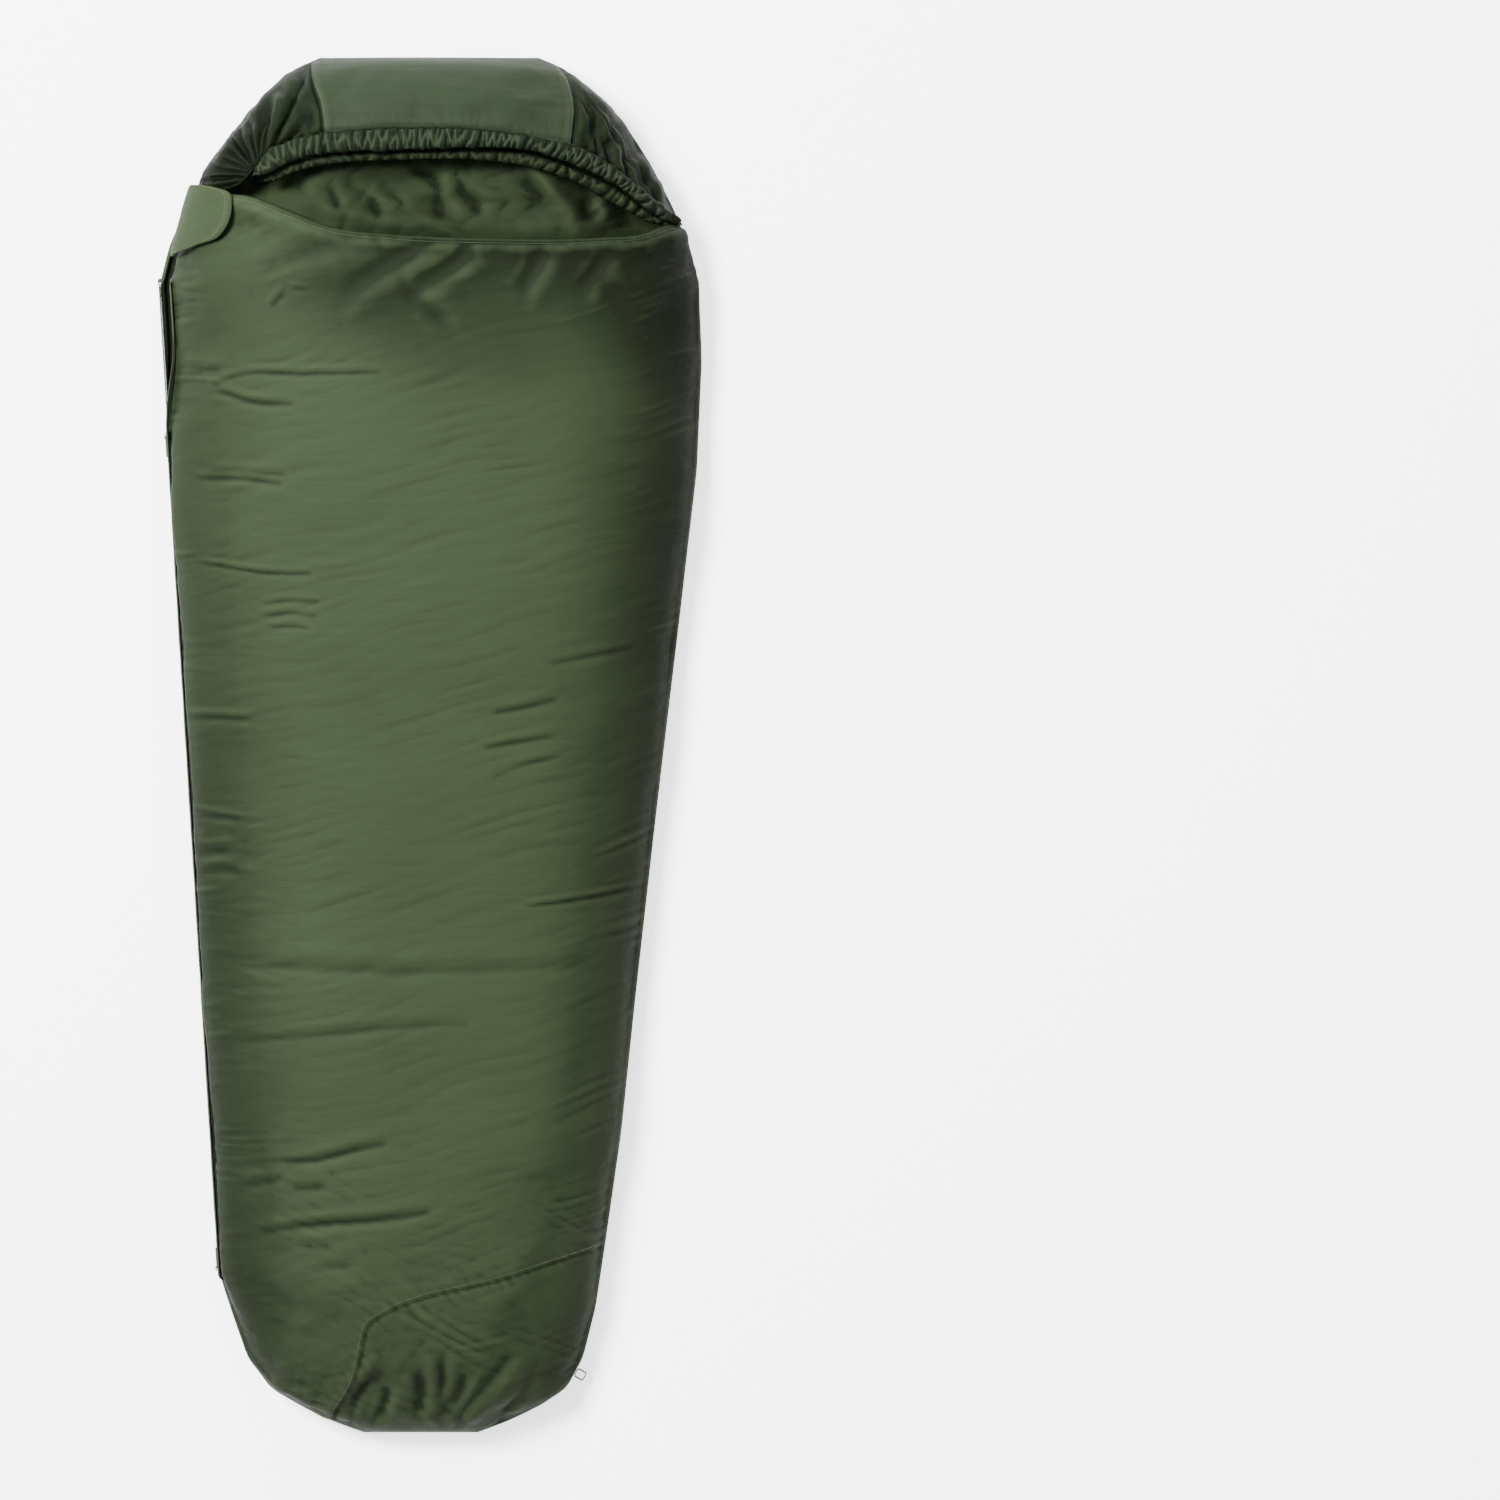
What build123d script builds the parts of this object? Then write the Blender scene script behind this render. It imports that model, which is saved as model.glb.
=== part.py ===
"""Mummy sleeping bag, laid flat on its back, in millimetres.

The head is towards +Y, the foot towards -Y and the zip is on the left, -X. The origin is the middle
of the bag's outline, on the surface that it lies on. The bag is a flat back quilt with an arched front
quilt and a hood over it. Each quilt is three layers: an outer shell, a fill and a lining. The face
opening lies between the front quilt's hem and the hood's gathered edge.
"""

import math
import os

from build123d import *

# Overall sizes
length = 2200.0
chest_width = 866.0
front_height = 182.0  # top of the front quilt at the chest

# Layers of the quilts
fabric = 1.2  # a shell, a lining or any other sewn panel
layer_gap = 1.0  # air between two layers
back_height = 36.0  # the whole back quilt
front_fill = 32.0  # the fill of the front quilt and the hood, square to their surface
seam_gap = 1.2  # between the back quilt and what stands on it
back_corner = 14.0  # rounding of the back quilt's lower edge
panel_seam = 1.0  # between two panels that are sewn edge to edge

# Zip, straight along the left side, with its tapes in a vertical plane outside the quilts
tape_thickness = 0.8
tape_width = 13.0
tape_stand_off = 0.6
coil_height = 3.9
coil_thickness = 3.0
coil_gap = 2.0  # between the two coils, for the post of the sliders
upper_slider_y = 494.0  # where the zip is open down to
gape = 20.0  # how far the front quilt's edge stands back from the open zip
gape_run = 150.0  # length over which it opens, and closes again above
gape_end_y = 930.0  # where it has closed, under the hood

# Sliders and pulls
slider_length = 15.0
slider_plate = 1.3
slider_lip = 0.9
lip_setback = 2.0  # of the lips from each end of the plates
slider_corner = 2.0
slider_clearance = 0.35
slot_clearance = 0.85  # between the sliders and the quilts
post_length = 3.0
bridge_length = 7.0
bridge_width = 2.4
bridge_bar = 1.3
pull_length = 34.0
pull_width = 7.0
pull_thickness = 1.4
pull_corner = 1.2
pull_hole = 2.0
pull_clearance = 0.5
stop_length = 6.0
stop_overhang = 0.6

# Height of the gap between the quilts, where the sliders run
zip_slot = coil_gap + 2 * (coil_height + slider_clearance + slider_lip + slot_clearance)

# Draft tube behind the zip, and the piping on the front quilt's edge
tube_breadth = 34.0
tube_stand_off = 7.0
tube_clearance = 5.0  # between it and the front quilt behind it
piping_size = 4.0
piping_chamfer = 1.0

# Corner flap, with its hook and loop patches
patch_thickness = 0.9
patch_gap = 0.4  # between the hook and the loop
glue_gap = 0.1  # between a patch and what it is sewn to
flap_foot = 16.0  # height of the flap's hinge line above the back quilt

# Edges of the face opening
channel_width = 20.0
channel_depth = 18.0
elastic_width = 10.0
elastic_thickness = 2.0
elastic_clearance = 1.0
hem_width = 3.0

# Foot loop
webbing_width = 10.0
webbing_thickness = 1.6
loop_reach = 17.0
loop_breadth = 15.0
loop_corner = 3.5
loop_height = 14.0  # of the webbing's lower edge
loop_y = -1004.0

# Stations from toe to crown: y, left edge, right edge, top of the front quilt or the hood, all given
# for a bag of the station sizes
station_length, station_width, station_height = 2200.0, 866.0, 182.0
least_step = 7.0  # between two sections
slope_reach = 12.0  # either side of a section, over which its slope is taken
stations = [
    (-1100, -104, 70, 76),
    (-1084, -152, 116, 96),
    (-1058, -208, 172, 118),
    (-1030, -256, 214, 136),
    (-980, -294, 242, 152),
    (-900, -322, 262, 162),
    (-800, -338, 277, 168),
    (-620, -351, 303, 172),
    (-400, -365, 326, 175),
    (-100, -384, 360, 178),
    (200, -402, 396, 180),
    (440, -418, 424, 182),
    (620, -429, 432, 182),
    (740, -436, 427, 182),
    (800, -421, 412, 182),
    (860, -394, 386, 186),
    (930, -358, 350, 190),
    (1000, -302, 305, 186),
    (1050, -258, 256, 168),
    (1084, -214, 208, 134),
    (1100, -176, 168, 106),
]
zip_ends = ((-337.5, -852), (-436, 740))

# Plan lines of the face opening from left to right, the toe panel's seam and the hood's two seams
hem_points = [(-470, 880), (-295, 876), (-224, 849), (-160, 828), (-48, 813), (79, 806), (206, 806),
              (302, 813), (470, 832)]
rim_points = [(-470, 884), (-290, 884), (-268, 888), (-208, 919), (-144, 936), (0, 944), (142, 936),
              (238, 915), (333, 871), (394, 840), (470, 838)]
toe_points = [(420, -760), (274, -795), (-88, -912), (-118, -980), (-160, -1140), (420, -1140)]
left_seam_points = [(-210, 1200), (-123, 700)]
right_seam_points = [(189, 1200), (272, 700)]
flap_points = [(-520, 800), (-398, 786), (-366, 798), (-328, 807), (-315, 828), (-309, 852), (-308, 872),
               (-333, 883), (-374, 876), (-520, 872)]
patch_points = [(-366, 812), (-334, 820), (-324, 842), (-330, 862), (-368, 856)]

width_scale = chest_width / station_width
length_scale = length / station_length

# How far the blocks that cut the layers reach past them
far = 0.6 * length
well_below = -20.0
well_above = 420.0
margin = 10.0


def scaled(points):
    """Plan points, scaled with the bag's overall sizes."""
    return [(x * width_scale, y * length_scale) for x, y in points]


zip_foot, zip_head = (Vector(x, y) for x, y in scaled(zip_ends))
zip_run = zip_head - zip_foot
zip_direction = zip_run.normalized()
lining_depth = 2 * fabric + 2 * layer_gap + front_fill  # inside of the front lining
arch_floor = back_height + seam_gap
slot_top = back_height + zip_slot
slot_middle = back_height + zip_slot / 2


def bent(y, xs, values):
    """A value at y on straight lines between stations."""
    y = min(max(y, xs[0]), xs[-1])
    i = max(k for k in range(len(xs) - 1) if xs[k] <= y)
    share = (y - xs[i]) / (xs[i + 1] - xs[i])
    return values[i] * (1 - share) + values[i + 1] * share


station_y = [row[0] * length_scale for row in stations]
gape_from_y = upper_slider_y * length_scale + slider_length


def zip_x(y):
    return zip_foot.X + zip_run.X * (y - zip_foot.Y) / zip_run.Y


def gape_at(y):
    """How far the front quilt's left edge stands back from the zip line: none up to the upper slider."""
    opening = (y - gape_from_y) / gape_run
    closing = (gape_end_y * length_scale - y) / gape_run
    share = min(max(min(opening, closing), 0.0), 1.0)
    return gape * share * share * (3 - 2 * share)


def left_edge(y):
    if zip_foot.Y <= y <= zip_head.Y:
        return zip_x(y)
    return bent(y, station_y, [row[1] * width_scale for row in stations])


def right_edge(y):
    return bent(y, station_y, [row[2] * width_scale for row in stations])


def top_height(y):
    drop = front_height - station_height
    return bent(y, station_y, [row[3] + drop for row in stations])


gape_y = [gape_from_y + gape_run * k / 4 for k in range(7)]
section_y = station_y + [zip_foot.Y] + gape_y
section_y = sorted(y for k, y in enumerate(section_y)
                   if all(abs(y - other) > least_step for other in section_y[:k]))


def front_edge(y):
    """The front quilt's left edge, straight between two sections of the arch."""
    return bent(y, section_y, [left_edge(s) + gape_at(s) for s in section_y])


def arch_profile(y, inset):
    """Centre, half width and rise of the arch's half ellipse at y, moved in by inset."""
    low, high = max(y - slope_reach, section_y[0]), min(y + slope_reach, section_y[-1])
    half_low, half_high = ((right_edge(s) - left_edge(s)) / 2 for s in (low, high))
    slope = (half_high - half_low) / (high - low)
    climb = (top_height(high) - top_height(low)) / (high - low)
    left, right = front_edge(y), right_edge(y)
    half = (right - left) / 2 - inset * math.hypot(1, slope)
    rise = top_height(y) - arch_floor - inset * math.hypot(1, climb)
    return (left + right) / 2, half, rise


def arch(inset, depth_below=0.0, from_y=-math.inf, to_y=math.inf):
    """The solid under the arch, moved in by inset, down to depth_below under the arch's floor."""
    foot = max(section_y[0] + inset, from_y)
    head = min(section_y[-1] - inset, to_y)
    between = [y for y in section_y if foot + least_step < y < head - least_step]
    with BuildPart() as space:
        for y in [foot] + between + [head]:
            middle, half, rise = arch_profile(y, inset)
            floor = arch_floor - depth_below
            with BuildSketch(Plane.XZ.offset(-y)):
                with BuildLine():
                    EllipticalCenterArc((middle, arch_floor), half, rise, start_angle=0, arc_size=180)
                    if depth_below:
                        Polyline((middle - half, arch_floor), (middle - half, floor),
                                 (middle + half, floor), (middle + half, arch_floor))
                    else:
                        Line((middle - half, arch_floor), (middle + half, arch_floor))
                make_face()
        loft(ruled=True)
    return space.part


def prism(points, low=well_below, high=well_above):
    """A tall block over a plan outline."""
    with BuildPart() as block:
        with BuildSketch(Plane.XY.offset(low)):
            with BuildLine():
                Polyline(*points, close=True)
            make_face()
        extrude(amount=high - low)
    return block.part


def shifted(points, step):
    return [(x, y + step) for x, y in points]


def shift_x(points, step):
    return [(x + step, y) for x, y in points]


def above(line, step=0.0):
    """The space on the head side of a plan line."""
    points = shifted(scaled(line), step)
    return prism(points + [(points[-1][0], far), (points[0][0], far)])


def below(line, step=0.0):
    """The space on the foot side of a plan line."""
    points = shifted(scaled(line), step)
    return prism(points + [(points[-1][0], -far), (points[0][0], -far)])


def beside_zip(edge, near, far, low, high, from_y, to_y):
    """A long block beside the zip, from near to far inside of an edge that is a function of y."""
    ys = [from_y] + [y for y in section_y if from_y + 1 < y < to_y - 1] + [to_y]
    side = [(edge(y) + near, y) for y in ys]
    return prism(side + [(edge(y) + far, y) for y in reversed(ys)], low, high)


def back_profile(y, inset):
    """The left and right edges of the back quilt's outline at y, moved in by inset."""
    low, high = max(y - slope_reach, section_y[0]), min(y + slope_reach, section_y[-1])
    left_slope = (left_edge(high) - left_edge(low)) / (high - low)
    right_slope = (right_edge(high) - right_edge(low)) / (high - low)
    left = left_edge(y) + inset * math.hypot(1, left_slope)
    return left, right_edge(y) - inset * math.hypot(1, right_slope)


def slab(inset, low, high):
    """A layer of the back quilt, with its lower edge rounded in four steps."""
    radius = back_corner - inset
    with BuildPart() as layer:
        for angle in (0, 30, 60, 90, None):
            if angle is None:
                inner, z = inset, high
            else:
                inner = inset + radius * (1 - math.sin(math.radians(angle)))
                z = low + radius * (1 - math.cos(math.radians(angle)))
            foot, head = section_y[0] + inner, section_y[-1] - inner
            ys = [foot] + section_y[1:-1] + [head]
            left = [(back_profile(y, inner)[0], y) for y in ys]
            right = [(back_profile(y, inner)[1], y) for y in reversed(ys)]
            with BuildSketch(Plane.XY.offset(z)):
                with BuildLine():
                    Polyline(*left, *right, close=True)
                make_face()
        loft(ruled=True)
    return layer.part


def save(part, name):
    part.label = name
    export_step(part, f"parts/{name}.step")


os.makedirs("parts", exist_ok=True)

# Back quilt: a tray of shell fabric, its fill, and the lining that closes it
fill_inset = fabric + layer_gap
shell_slab = slab(0.0, 0.0, back_height)
shell_hollow = slab(fabric, fabric, back_height + seam_gap)
fill_slab = slab(fill_inset, fill_inset, back_height - fill_inset)
lining_slab = slab(fill_inset, back_height - 3 * back_corner, back_height)

with BuildPart() as back_shell:
    add(shell_slab)
    add(shell_hollow, mode=Mode.SUBTRACT)
save(back_shell.part, "back_shell")

with BuildPart() as back_insulation:
    add(fill_slab)
save(back_insulation.part, "back_insulation")

with BuildPart() as back_lining:
    add(lining_slab)
    split(bisect_by=Plane.XY.offset(back_height - fabric), keep=Keep.TOP)
save(back_lining.part, "back_lining")

# The arch that the front quilt and the hood share, at each of its depths
cut_below = 3 * seam_gap
arch_outer = arch(0.0)
arch_shell_inside = arch(fabric, cut_below)
arch_fill_outside = arch(fabric + layer_gap)
arch_fill_inside = arch(fabric + layer_gap + front_fill, cut_below)
arch_lining_outside = arch(fabric + 2 * layer_gap + front_fill)
arch_lining_inside = arch(lining_depth, cut_below)

# Where the front quilt ends: its hem, the hood and the gap above the zip
slot_depth = tube_stand_off + tube_breadth + tube_clearance
slot_ends = (zip_foot.Y - 2 * stop_length, zip_head.Y + 2 * stop_length)
zip_gap = beside_zip(front_edge, -far, slot_depth, 0, slot_top, *slot_ends)
front_space = below(hem_points, -hem_width - layer_gap) - zip_gap
toe_space = prism(scaled(toe_points))
with BuildSketch(Plane.XY.offset(well_below)) as toe_outline:
    with BuildLine():
        Polyline(*scaled(toe_points), close=True)
    make_face()
    offset(amount=panel_seam, kind=Kind.INTERSECTION)
hood_space = above(rim_points, channel_width + layer_gap)

with BuildPart() as front_shell:
    add(arch_outer)
    add(arch_shell_inside, mode=Mode.SUBTRACT)
    add(front_space, mode=Mode.INTERSECT)
    extrude(toe_outline.sketch, amount=well_above - well_below, mode=Mode.SUBTRACT)
save(front_shell.part, "front_shell")

with BuildPart() as toe_panel:
    add(arch_outer)
    add(arch_shell_inside, mode=Mode.SUBTRACT)
    add(toe_space, mode=Mode.INTERSECT)
    add(zip_gap, mode=Mode.SUBTRACT)
save(toe_panel.part, "toe_panel")

with BuildPart() as front_insulation:
    add(arch_fill_outside)
    add(arch_fill_inside, mode=Mode.SUBTRACT)
    add(front_space, mode=Mode.INTERSECT)
save(front_insulation.part, "front_insulation")

with BuildPart() as front_lining:
    add(arch_lining_outside)
    add(arch_lining_inside, mode=Mode.SUBTRACT)
    add(front_space, mode=Mode.INTERSECT)
save(front_lining.part, "front_lining")

with BuildPart() as chest_hem_binding:
    add(arch_outer)
    add(arch_lining_inside, mode=Mode.SUBTRACT)
    add(below(hem_points), mode=Mode.INTERSECT)
    add(above(hem_points, -hem_width), mode=Mode.INTERSECT)
save(chest_hem_binding.part, "chest_hem_binding")

# Hood: three panels over one fill and one lining
left_seam, right_seam = scaled(left_seam_points), scaled(right_seam_points)
hood_panels = {
    "hood_left_panel": shift_x(left_seam, -panel_seam) + [(-far, y) for x, y in left_seam[::-1]],
    "hood_center_panel": left_seam + right_seam[::-1],
    "hood_right_panel": shift_x(right_seam, panel_seam) + [(far, y) for x, y in right_seam[::-1]],
}
for name, plan in hood_panels.items():
    panel_space = prism(plan)
    with BuildPart() as hood_panel:
        add(arch_outer)
        add(arch_shell_inside, mode=Mode.SUBTRACT)
        add(hood_space, mode=Mode.INTERSECT)
        add(panel_space, mode=Mode.INTERSECT)
    save(hood_panel.part, name)

with BuildPart() as hood_insulation:
    add(arch_fill_outside)
    add(arch_fill_inside, mode=Mode.SUBTRACT)
    add(hood_space, mode=Mode.INTERSECT)
save(hood_insulation.part, "hood_insulation")

with BuildPart() as hood_lining:
    add(arch_lining_outside)
    add(arch_lining_inside, mode=Mode.SUBTRACT)
    add(hood_space, mode=Mode.INTERSECT)
save(hood_lining.part, "hood_lining")

# Face channel: a casing along the hood's edge with a flat elastic inside
hood_from_y = min(y for x, y in scaled(rim_points)) - margin
elastic_top = (channel_depth - elastic_thickness) / 2
bore_top = elastic_top - elastic_clearance
bore_bottom = channel_depth - bore_top
elastic_edge = (channel_width - elastic_width) / 2
bore_edge = elastic_edge - elastic_clearance
channel_outside = arch(0.0, from_y=hood_from_y)
channel_inside = arch(channel_depth, cut_below, from_y=hood_from_y)
bore_outside = arch(bore_top, from_y=hood_from_y)
bore_inside = arch(bore_bottom, cut_below, from_y=hood_from_y)
elastic_outside = arch(elastic_top, from_y=hood_from_y)
elastic_inside = arch(elastic_top + elastic_thickness, cut_below, from_y=hood_from_y)
channel_band = above(rim_points) & below(rim_points, channel_width)
bore_band = above(rim_points, bore_edge) & below(rim_points, channel_width - bore_edge)
elastic_band = above(rim_points, elastic_edge) & below(rim_points, channel_width - elastic_edge)
bore = (bore_outside - bore_inside) & bore_band

with BuildPart() as face_channel:
    add(channel_outside)
    add(channel_inside, mode=Mode.SUBTRACT)
    add(channel_band, mode=Mode.INTERSECT)
    add(bore, mode=Mode.SUBTRACT)
save(face_channel.part, "face_channel")

with BuildPart() as face_elastic:
    add(elastic_outside)
    add(elastic_inside, mode=Mode.SUBTRACT)
    add(elastic_band, mode=Mode.INTERSECT)
save(face_elastic.part, "face_elastic")

# Zip: two tapes with a coil on the edge of each, from the foot stop to the head stops
foot_y, head_y = zip_foot.Y, zip_head.Y
coil_middle = -tape_stand_off - tape_thickness / 2
coil_top = slot_middle + coil_gap / 2 + coil_height
coil_bottom = slot_middle - coil_gap / 2 - coil_height
tape_sides = (coil_middle - tape_thickness / 2, coil_middle + tape_thickness / 2)
coil_sides = (coil_middle - coil_thickness / 2, coil_middle + coil_thickness / 2)
stop_sides = (coil_sides[0] - stop_overhang, coil_sides[1] + stop_overhang)

with BuildPart() as zip_tape_back:
    add(beside_zip(left_edge, *tape_sides, coil_bottom - tape_width, coil_bottom, foot_y, head_y))
save(zip_tape_back.part, "zip_tape_back")

with BuildPart() as zip_coil_back:
    add(beside_zip(left_edge, *coil_sides, coil_bottom, coil_bottom + coil_height, foot_y, head_y))
save(zip_coil_back.part, "zip_coil_back")

with BuildPart() as zip_coil_front:
    add(beside_zip(front_edge, *coil_sides, coil_top - coil_height, coil_top, foot_y, head_y))
save(zip_coil_front.part, "zip_coil_front")

with BuildPart() as zip_tape_front:
    add(beside_zip(front_edge, *tape_sides, coil_top, coil_top + tape_width, foot_y, head_y))
save(zip_tape_front.part, "zip_tape_front")

with BuildPart() as zip_foot_stop:
    add(beside_zip(left_edge, *stop_sides, coil_bottom, coil_top, foot_y - stop_length, foot_y))
save(zip_foot_stop.part, "zip_foot_stop")

with BuildPart() as zip_head_stop_back:
    add(beside_zip(left_edge, *stop_sides, coil_bottom, coil_bottom + coil_height, head_y,
                   head_y + stop_length))
save(zip_head_stop_back.part, "zip_head_stop_back")

with BuildPart() as zip_head_stop_front:
    add(beside_zip(front_edge, *stop_sides, coil_top - coil_height, coil_top, head_y,
                   head_y + stop_length))
save(zip_head_stop_front.part, "zip_head_stop_front")

# Piping along the front quilt's edge, above the tape, and the draft tube behind the coils
piping_low = coil_top + tape_width + seam_gap
piping_near = coil_middle - tape_thickness / 2

with BuildPart() as front_edge_piping:
    add(beside_zip(front_edge, piping_near, piping_near + piping_size, piping_low,
                   piping_low + piping_size, foot_y, head_y))
    chamfer(front_edge_piping.edges().filter_by(Axis.Z, reverse=True).group_by(Axis.Z)[-1],
            piping_chamfer)
save(front_edge_piping.part, "front_edge_piping")

with BuildPart() as draft_tube:
    add(beside_zip(front_edge, tube_stand_off, tube_stand_off + tube_breadth, arch_floor,
                   slot_top - seam_gap, foot_y + stop_length, head_y - stop_length))
save(draft_tube.part, "draft_tube")

# Sliders: two plates joined by a post between the coils, with lips over the coils' outer edges
plate_near = coil_thickness / 2 + slider_clearance
plate_far = plate_near + slider_plate
half_height = coil_gap / 2 + coil_height + slider_clearance + slider_lip
lip_near = tape_thickness / 2 + slider_clearance
bridge_inside = bridge_length / 2 - bridge_bar
bridge_low = plate_far
pivot_out = plate_far + slider_clearance + pull_thickness / 2
bridge_top = pivot_out + pull_thickness / 2 + pull_clearance + bridge_bar
window = math.hypot(bridge_length / 2, bridge_top - pivot_out) + pull_clearance


def slider_plane(y, towards_head):
    """On the coils' middle line at y: x along the zip, z out of the bag's side."""
    along = zip_direction if towards_head else -zip_direction
    outward = Vector(-zip_direction.Y, zip_direction.X, 0)
    line_x = zip_x(y) + coil_middle * math.hypot(1, zip_run.X / zip_run.Y)
    return Plane(origin=(line_x, y, slot_middle), x_dir=along, z_dir=outward)


def make_slider(name, y, towards_head):
    """A slider whose post is at the end that faces the open part of the zip, with its pull."""
    place = slider_plane(y, towards_head)
    with BuildPart() as slider:
        for side in (plate_near, -plate_far):
            with BuildSketch(place.offset(side)):
                RectangleRounded(slider_length, 2 * half_height, slider_corner)
            extrude(amount=slider_plate)
        for lip in (1, -1):
            with BuildSketch(place.offset(-plate_far)):
                with Locations((0, lip * (half_height - slider_lip / 2))):
                    Rectangle(slider_length - 2 * lip_setback, slider_lip)
            extrude(amount=plate_far - lip_near)
            with BuildSketch(place.offset(lip_near)):
                with Locations((0, lip * (half_height - slider_lip / 2))):
                    Rectangle(slider_length - 2 * lip_setback, slider_lip)
            extrude(amount=plate_far - lip_near)
        with BuildSketch(place.offset(-plate_far)):
            with Locations(((slider_length - post_length) / 2, 0)):
                Rectangle(post_length, coil_gap - 2 * slider_clearance)
        extrude(amount=2 * plate_far)
        with BuildSketch(place.offset(bridge_low)):
            Rectangle(bridge_length, bridge_width)
        extrude(amount=bridge_top - bridge_low)
        with BuildSketch(place.offset(bridge_low)):
            Rectangle(2 * bridge_inside, 2 * bridge_width)
        extrude(amount=bridge_top - bridge_bar - bridge_low, mode=Mode.SUBTRACT)
    save(slider.part, f"zip_slider_{name}")

    with BuildPart() as pull:
        with BuildSketch(place.offset(pivot_out - pull_thickness / 2)):
            with Locations(((pull_thickness - pull_length) / 2, 0)):
                RectangleRounded(pull_length, pull_width, pull_corner)
            with Locations((-(window + pull_thickness / 2) / 2, 0)):
                Rectangle(window - pull_thickness / 2, bridge_width + 2 * pull_clearance,
                          mode=Mode.SUBTRACT)
            with Locations((pull_thickness / 2 + pull_hole - pull_length, 0)):
                Circle(pull_hole / 2, mode=Mode.SUBTRACT)
        extrude(amount=pull_thickness)
    save(pull.part, f"zip_pull_{name}")
    print(f"{name} slider at", place.origin, "pivot", place.origin + place.z_dir * pivot_out)


make_slider("upper", upper_slider_y * length_scale, True)
make_slider("lower", foot_y + slider_length, False)

# Corner flap over the front quilt's corner, held down by a hook patch and a loop patch
loop_top = glue_gap + patch_thickness
hook_low = loop_top + patch_gap
flap_low = hook_low + patch_thickness + glue_gap
flap_ys = [y for x, y in scaled(flap_points)]
flap_band = (min(flap_ys) - margin, max(flap_ys) + margin)
flap_space = prism(scaled(flap_points), back_height + flap_foot)
patch_space = prism(scaled(patch_points))
flap_layers = {
    "corner_flap": (flap_low + fabric, flap_low, flap_space),
    "flap_hook_patch": (hook_low + patch_thickness, hook_low, patch_space),
    "flap_loop_patch": (loop_top, glue_gap, patch_space),
}
for name, (outside, inside, space) in flap_layers.items():
    over = arch(-outside, from_y=flap_band[0], to_y=flap_band[1])
    under = arch(-inside, cut_below, from_y=flap_band[0], to_y=flap_band[1])
    with BuildPart() as flap_piece:
        add(over)
        add(under, mode=Mode.SUBTRACT)
        add(space, mode=Mode.INTERSECT)
    save(flap_piece.part, name)

# The flap's hinge line, where it leaves the back quilt's rim
hinge_rise = flap_foot - seam_gap
for y in flap_band:
    middle, half, rise = arch_profile(y, -flap_low - fabric / 2)
    hinge_x = middle - half * math.sqrt(1 - (hinge_rise / rise) ** 2)
    print(f"flap hinge passes {hinge_x:.2f}, {y:.2f}, {back_height + flap_foot:.2f}")

# Hanging loop of webbing on the toe's right side, level with the back quilt
loop_ys = [loop_y * length_scale + side * webbing_width / 2 for side in (-1, 1)]
edge_low, edge_high = (Vector(right_edge(y), y) for y in loop_ys)
edge_direction = (edge_high - edge_low).normalized()
edge_outward = Vector(edge_direction.Y, -edge_direction.X, 0)
loop_middle = (edge_low + edge_high) / 2 + edge_outward * (loop_reach / 2 + seam_gap)
loop_origin = loop_middle + Vector(0, 0, loop_height)

with BuildPart() as foot_loop:
    with BuildSketch(Plane(origin=loop_origin, x_dir=edge_outward, z_dir=(0, 0, 1))):
        RectangleRounded(loop_reach, loop_breadth, loop_corner)
        RectangleRounded(loop_reach - 2 * webbing_thickness, loop_breadth - 2 * webbing_thickness,
                         loop_corner - webbing_thickness, mode=Mode.SUBTRACT)
    extrude(amount=webbing_width)
save(foot_loop.part, "foot_loop")
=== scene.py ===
import math

import bmesh
import bpy
import numpy as np
from bpy.props import FloatProperty, FloatVectorProperty, IntProperty, PointerProperty
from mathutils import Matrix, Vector
from mathutils.bvhtree import BVHTree


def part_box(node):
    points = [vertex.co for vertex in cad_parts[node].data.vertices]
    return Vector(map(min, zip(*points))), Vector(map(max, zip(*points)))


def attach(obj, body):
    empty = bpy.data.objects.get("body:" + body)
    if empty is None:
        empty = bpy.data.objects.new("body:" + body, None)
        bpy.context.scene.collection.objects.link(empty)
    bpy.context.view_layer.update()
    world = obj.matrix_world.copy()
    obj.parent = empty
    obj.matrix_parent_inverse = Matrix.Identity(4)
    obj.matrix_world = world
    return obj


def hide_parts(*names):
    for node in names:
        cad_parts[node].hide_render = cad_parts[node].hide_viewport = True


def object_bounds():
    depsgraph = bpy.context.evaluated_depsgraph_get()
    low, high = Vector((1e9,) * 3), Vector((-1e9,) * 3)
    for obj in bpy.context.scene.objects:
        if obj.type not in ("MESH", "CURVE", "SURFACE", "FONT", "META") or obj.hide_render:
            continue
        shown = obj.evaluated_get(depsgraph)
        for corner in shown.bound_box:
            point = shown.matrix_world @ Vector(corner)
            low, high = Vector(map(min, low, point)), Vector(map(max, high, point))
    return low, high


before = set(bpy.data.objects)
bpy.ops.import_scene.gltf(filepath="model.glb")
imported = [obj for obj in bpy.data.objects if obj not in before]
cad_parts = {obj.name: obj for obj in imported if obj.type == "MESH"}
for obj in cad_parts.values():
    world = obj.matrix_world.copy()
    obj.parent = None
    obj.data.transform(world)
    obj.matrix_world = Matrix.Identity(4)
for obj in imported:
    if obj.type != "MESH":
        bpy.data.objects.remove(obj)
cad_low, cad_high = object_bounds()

bl_info = {
    "name": "Mummy sleeping bag",
    "version": (1, 0, 0),
    "blender": (4, 5, 0),
    "location": "3D View > Sidebar > Sleeping bag",
    "description": "Makes the cloth, zip and trims of a padded mummy sleeping bag around its frame",
    "category": "Object",
}

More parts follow.
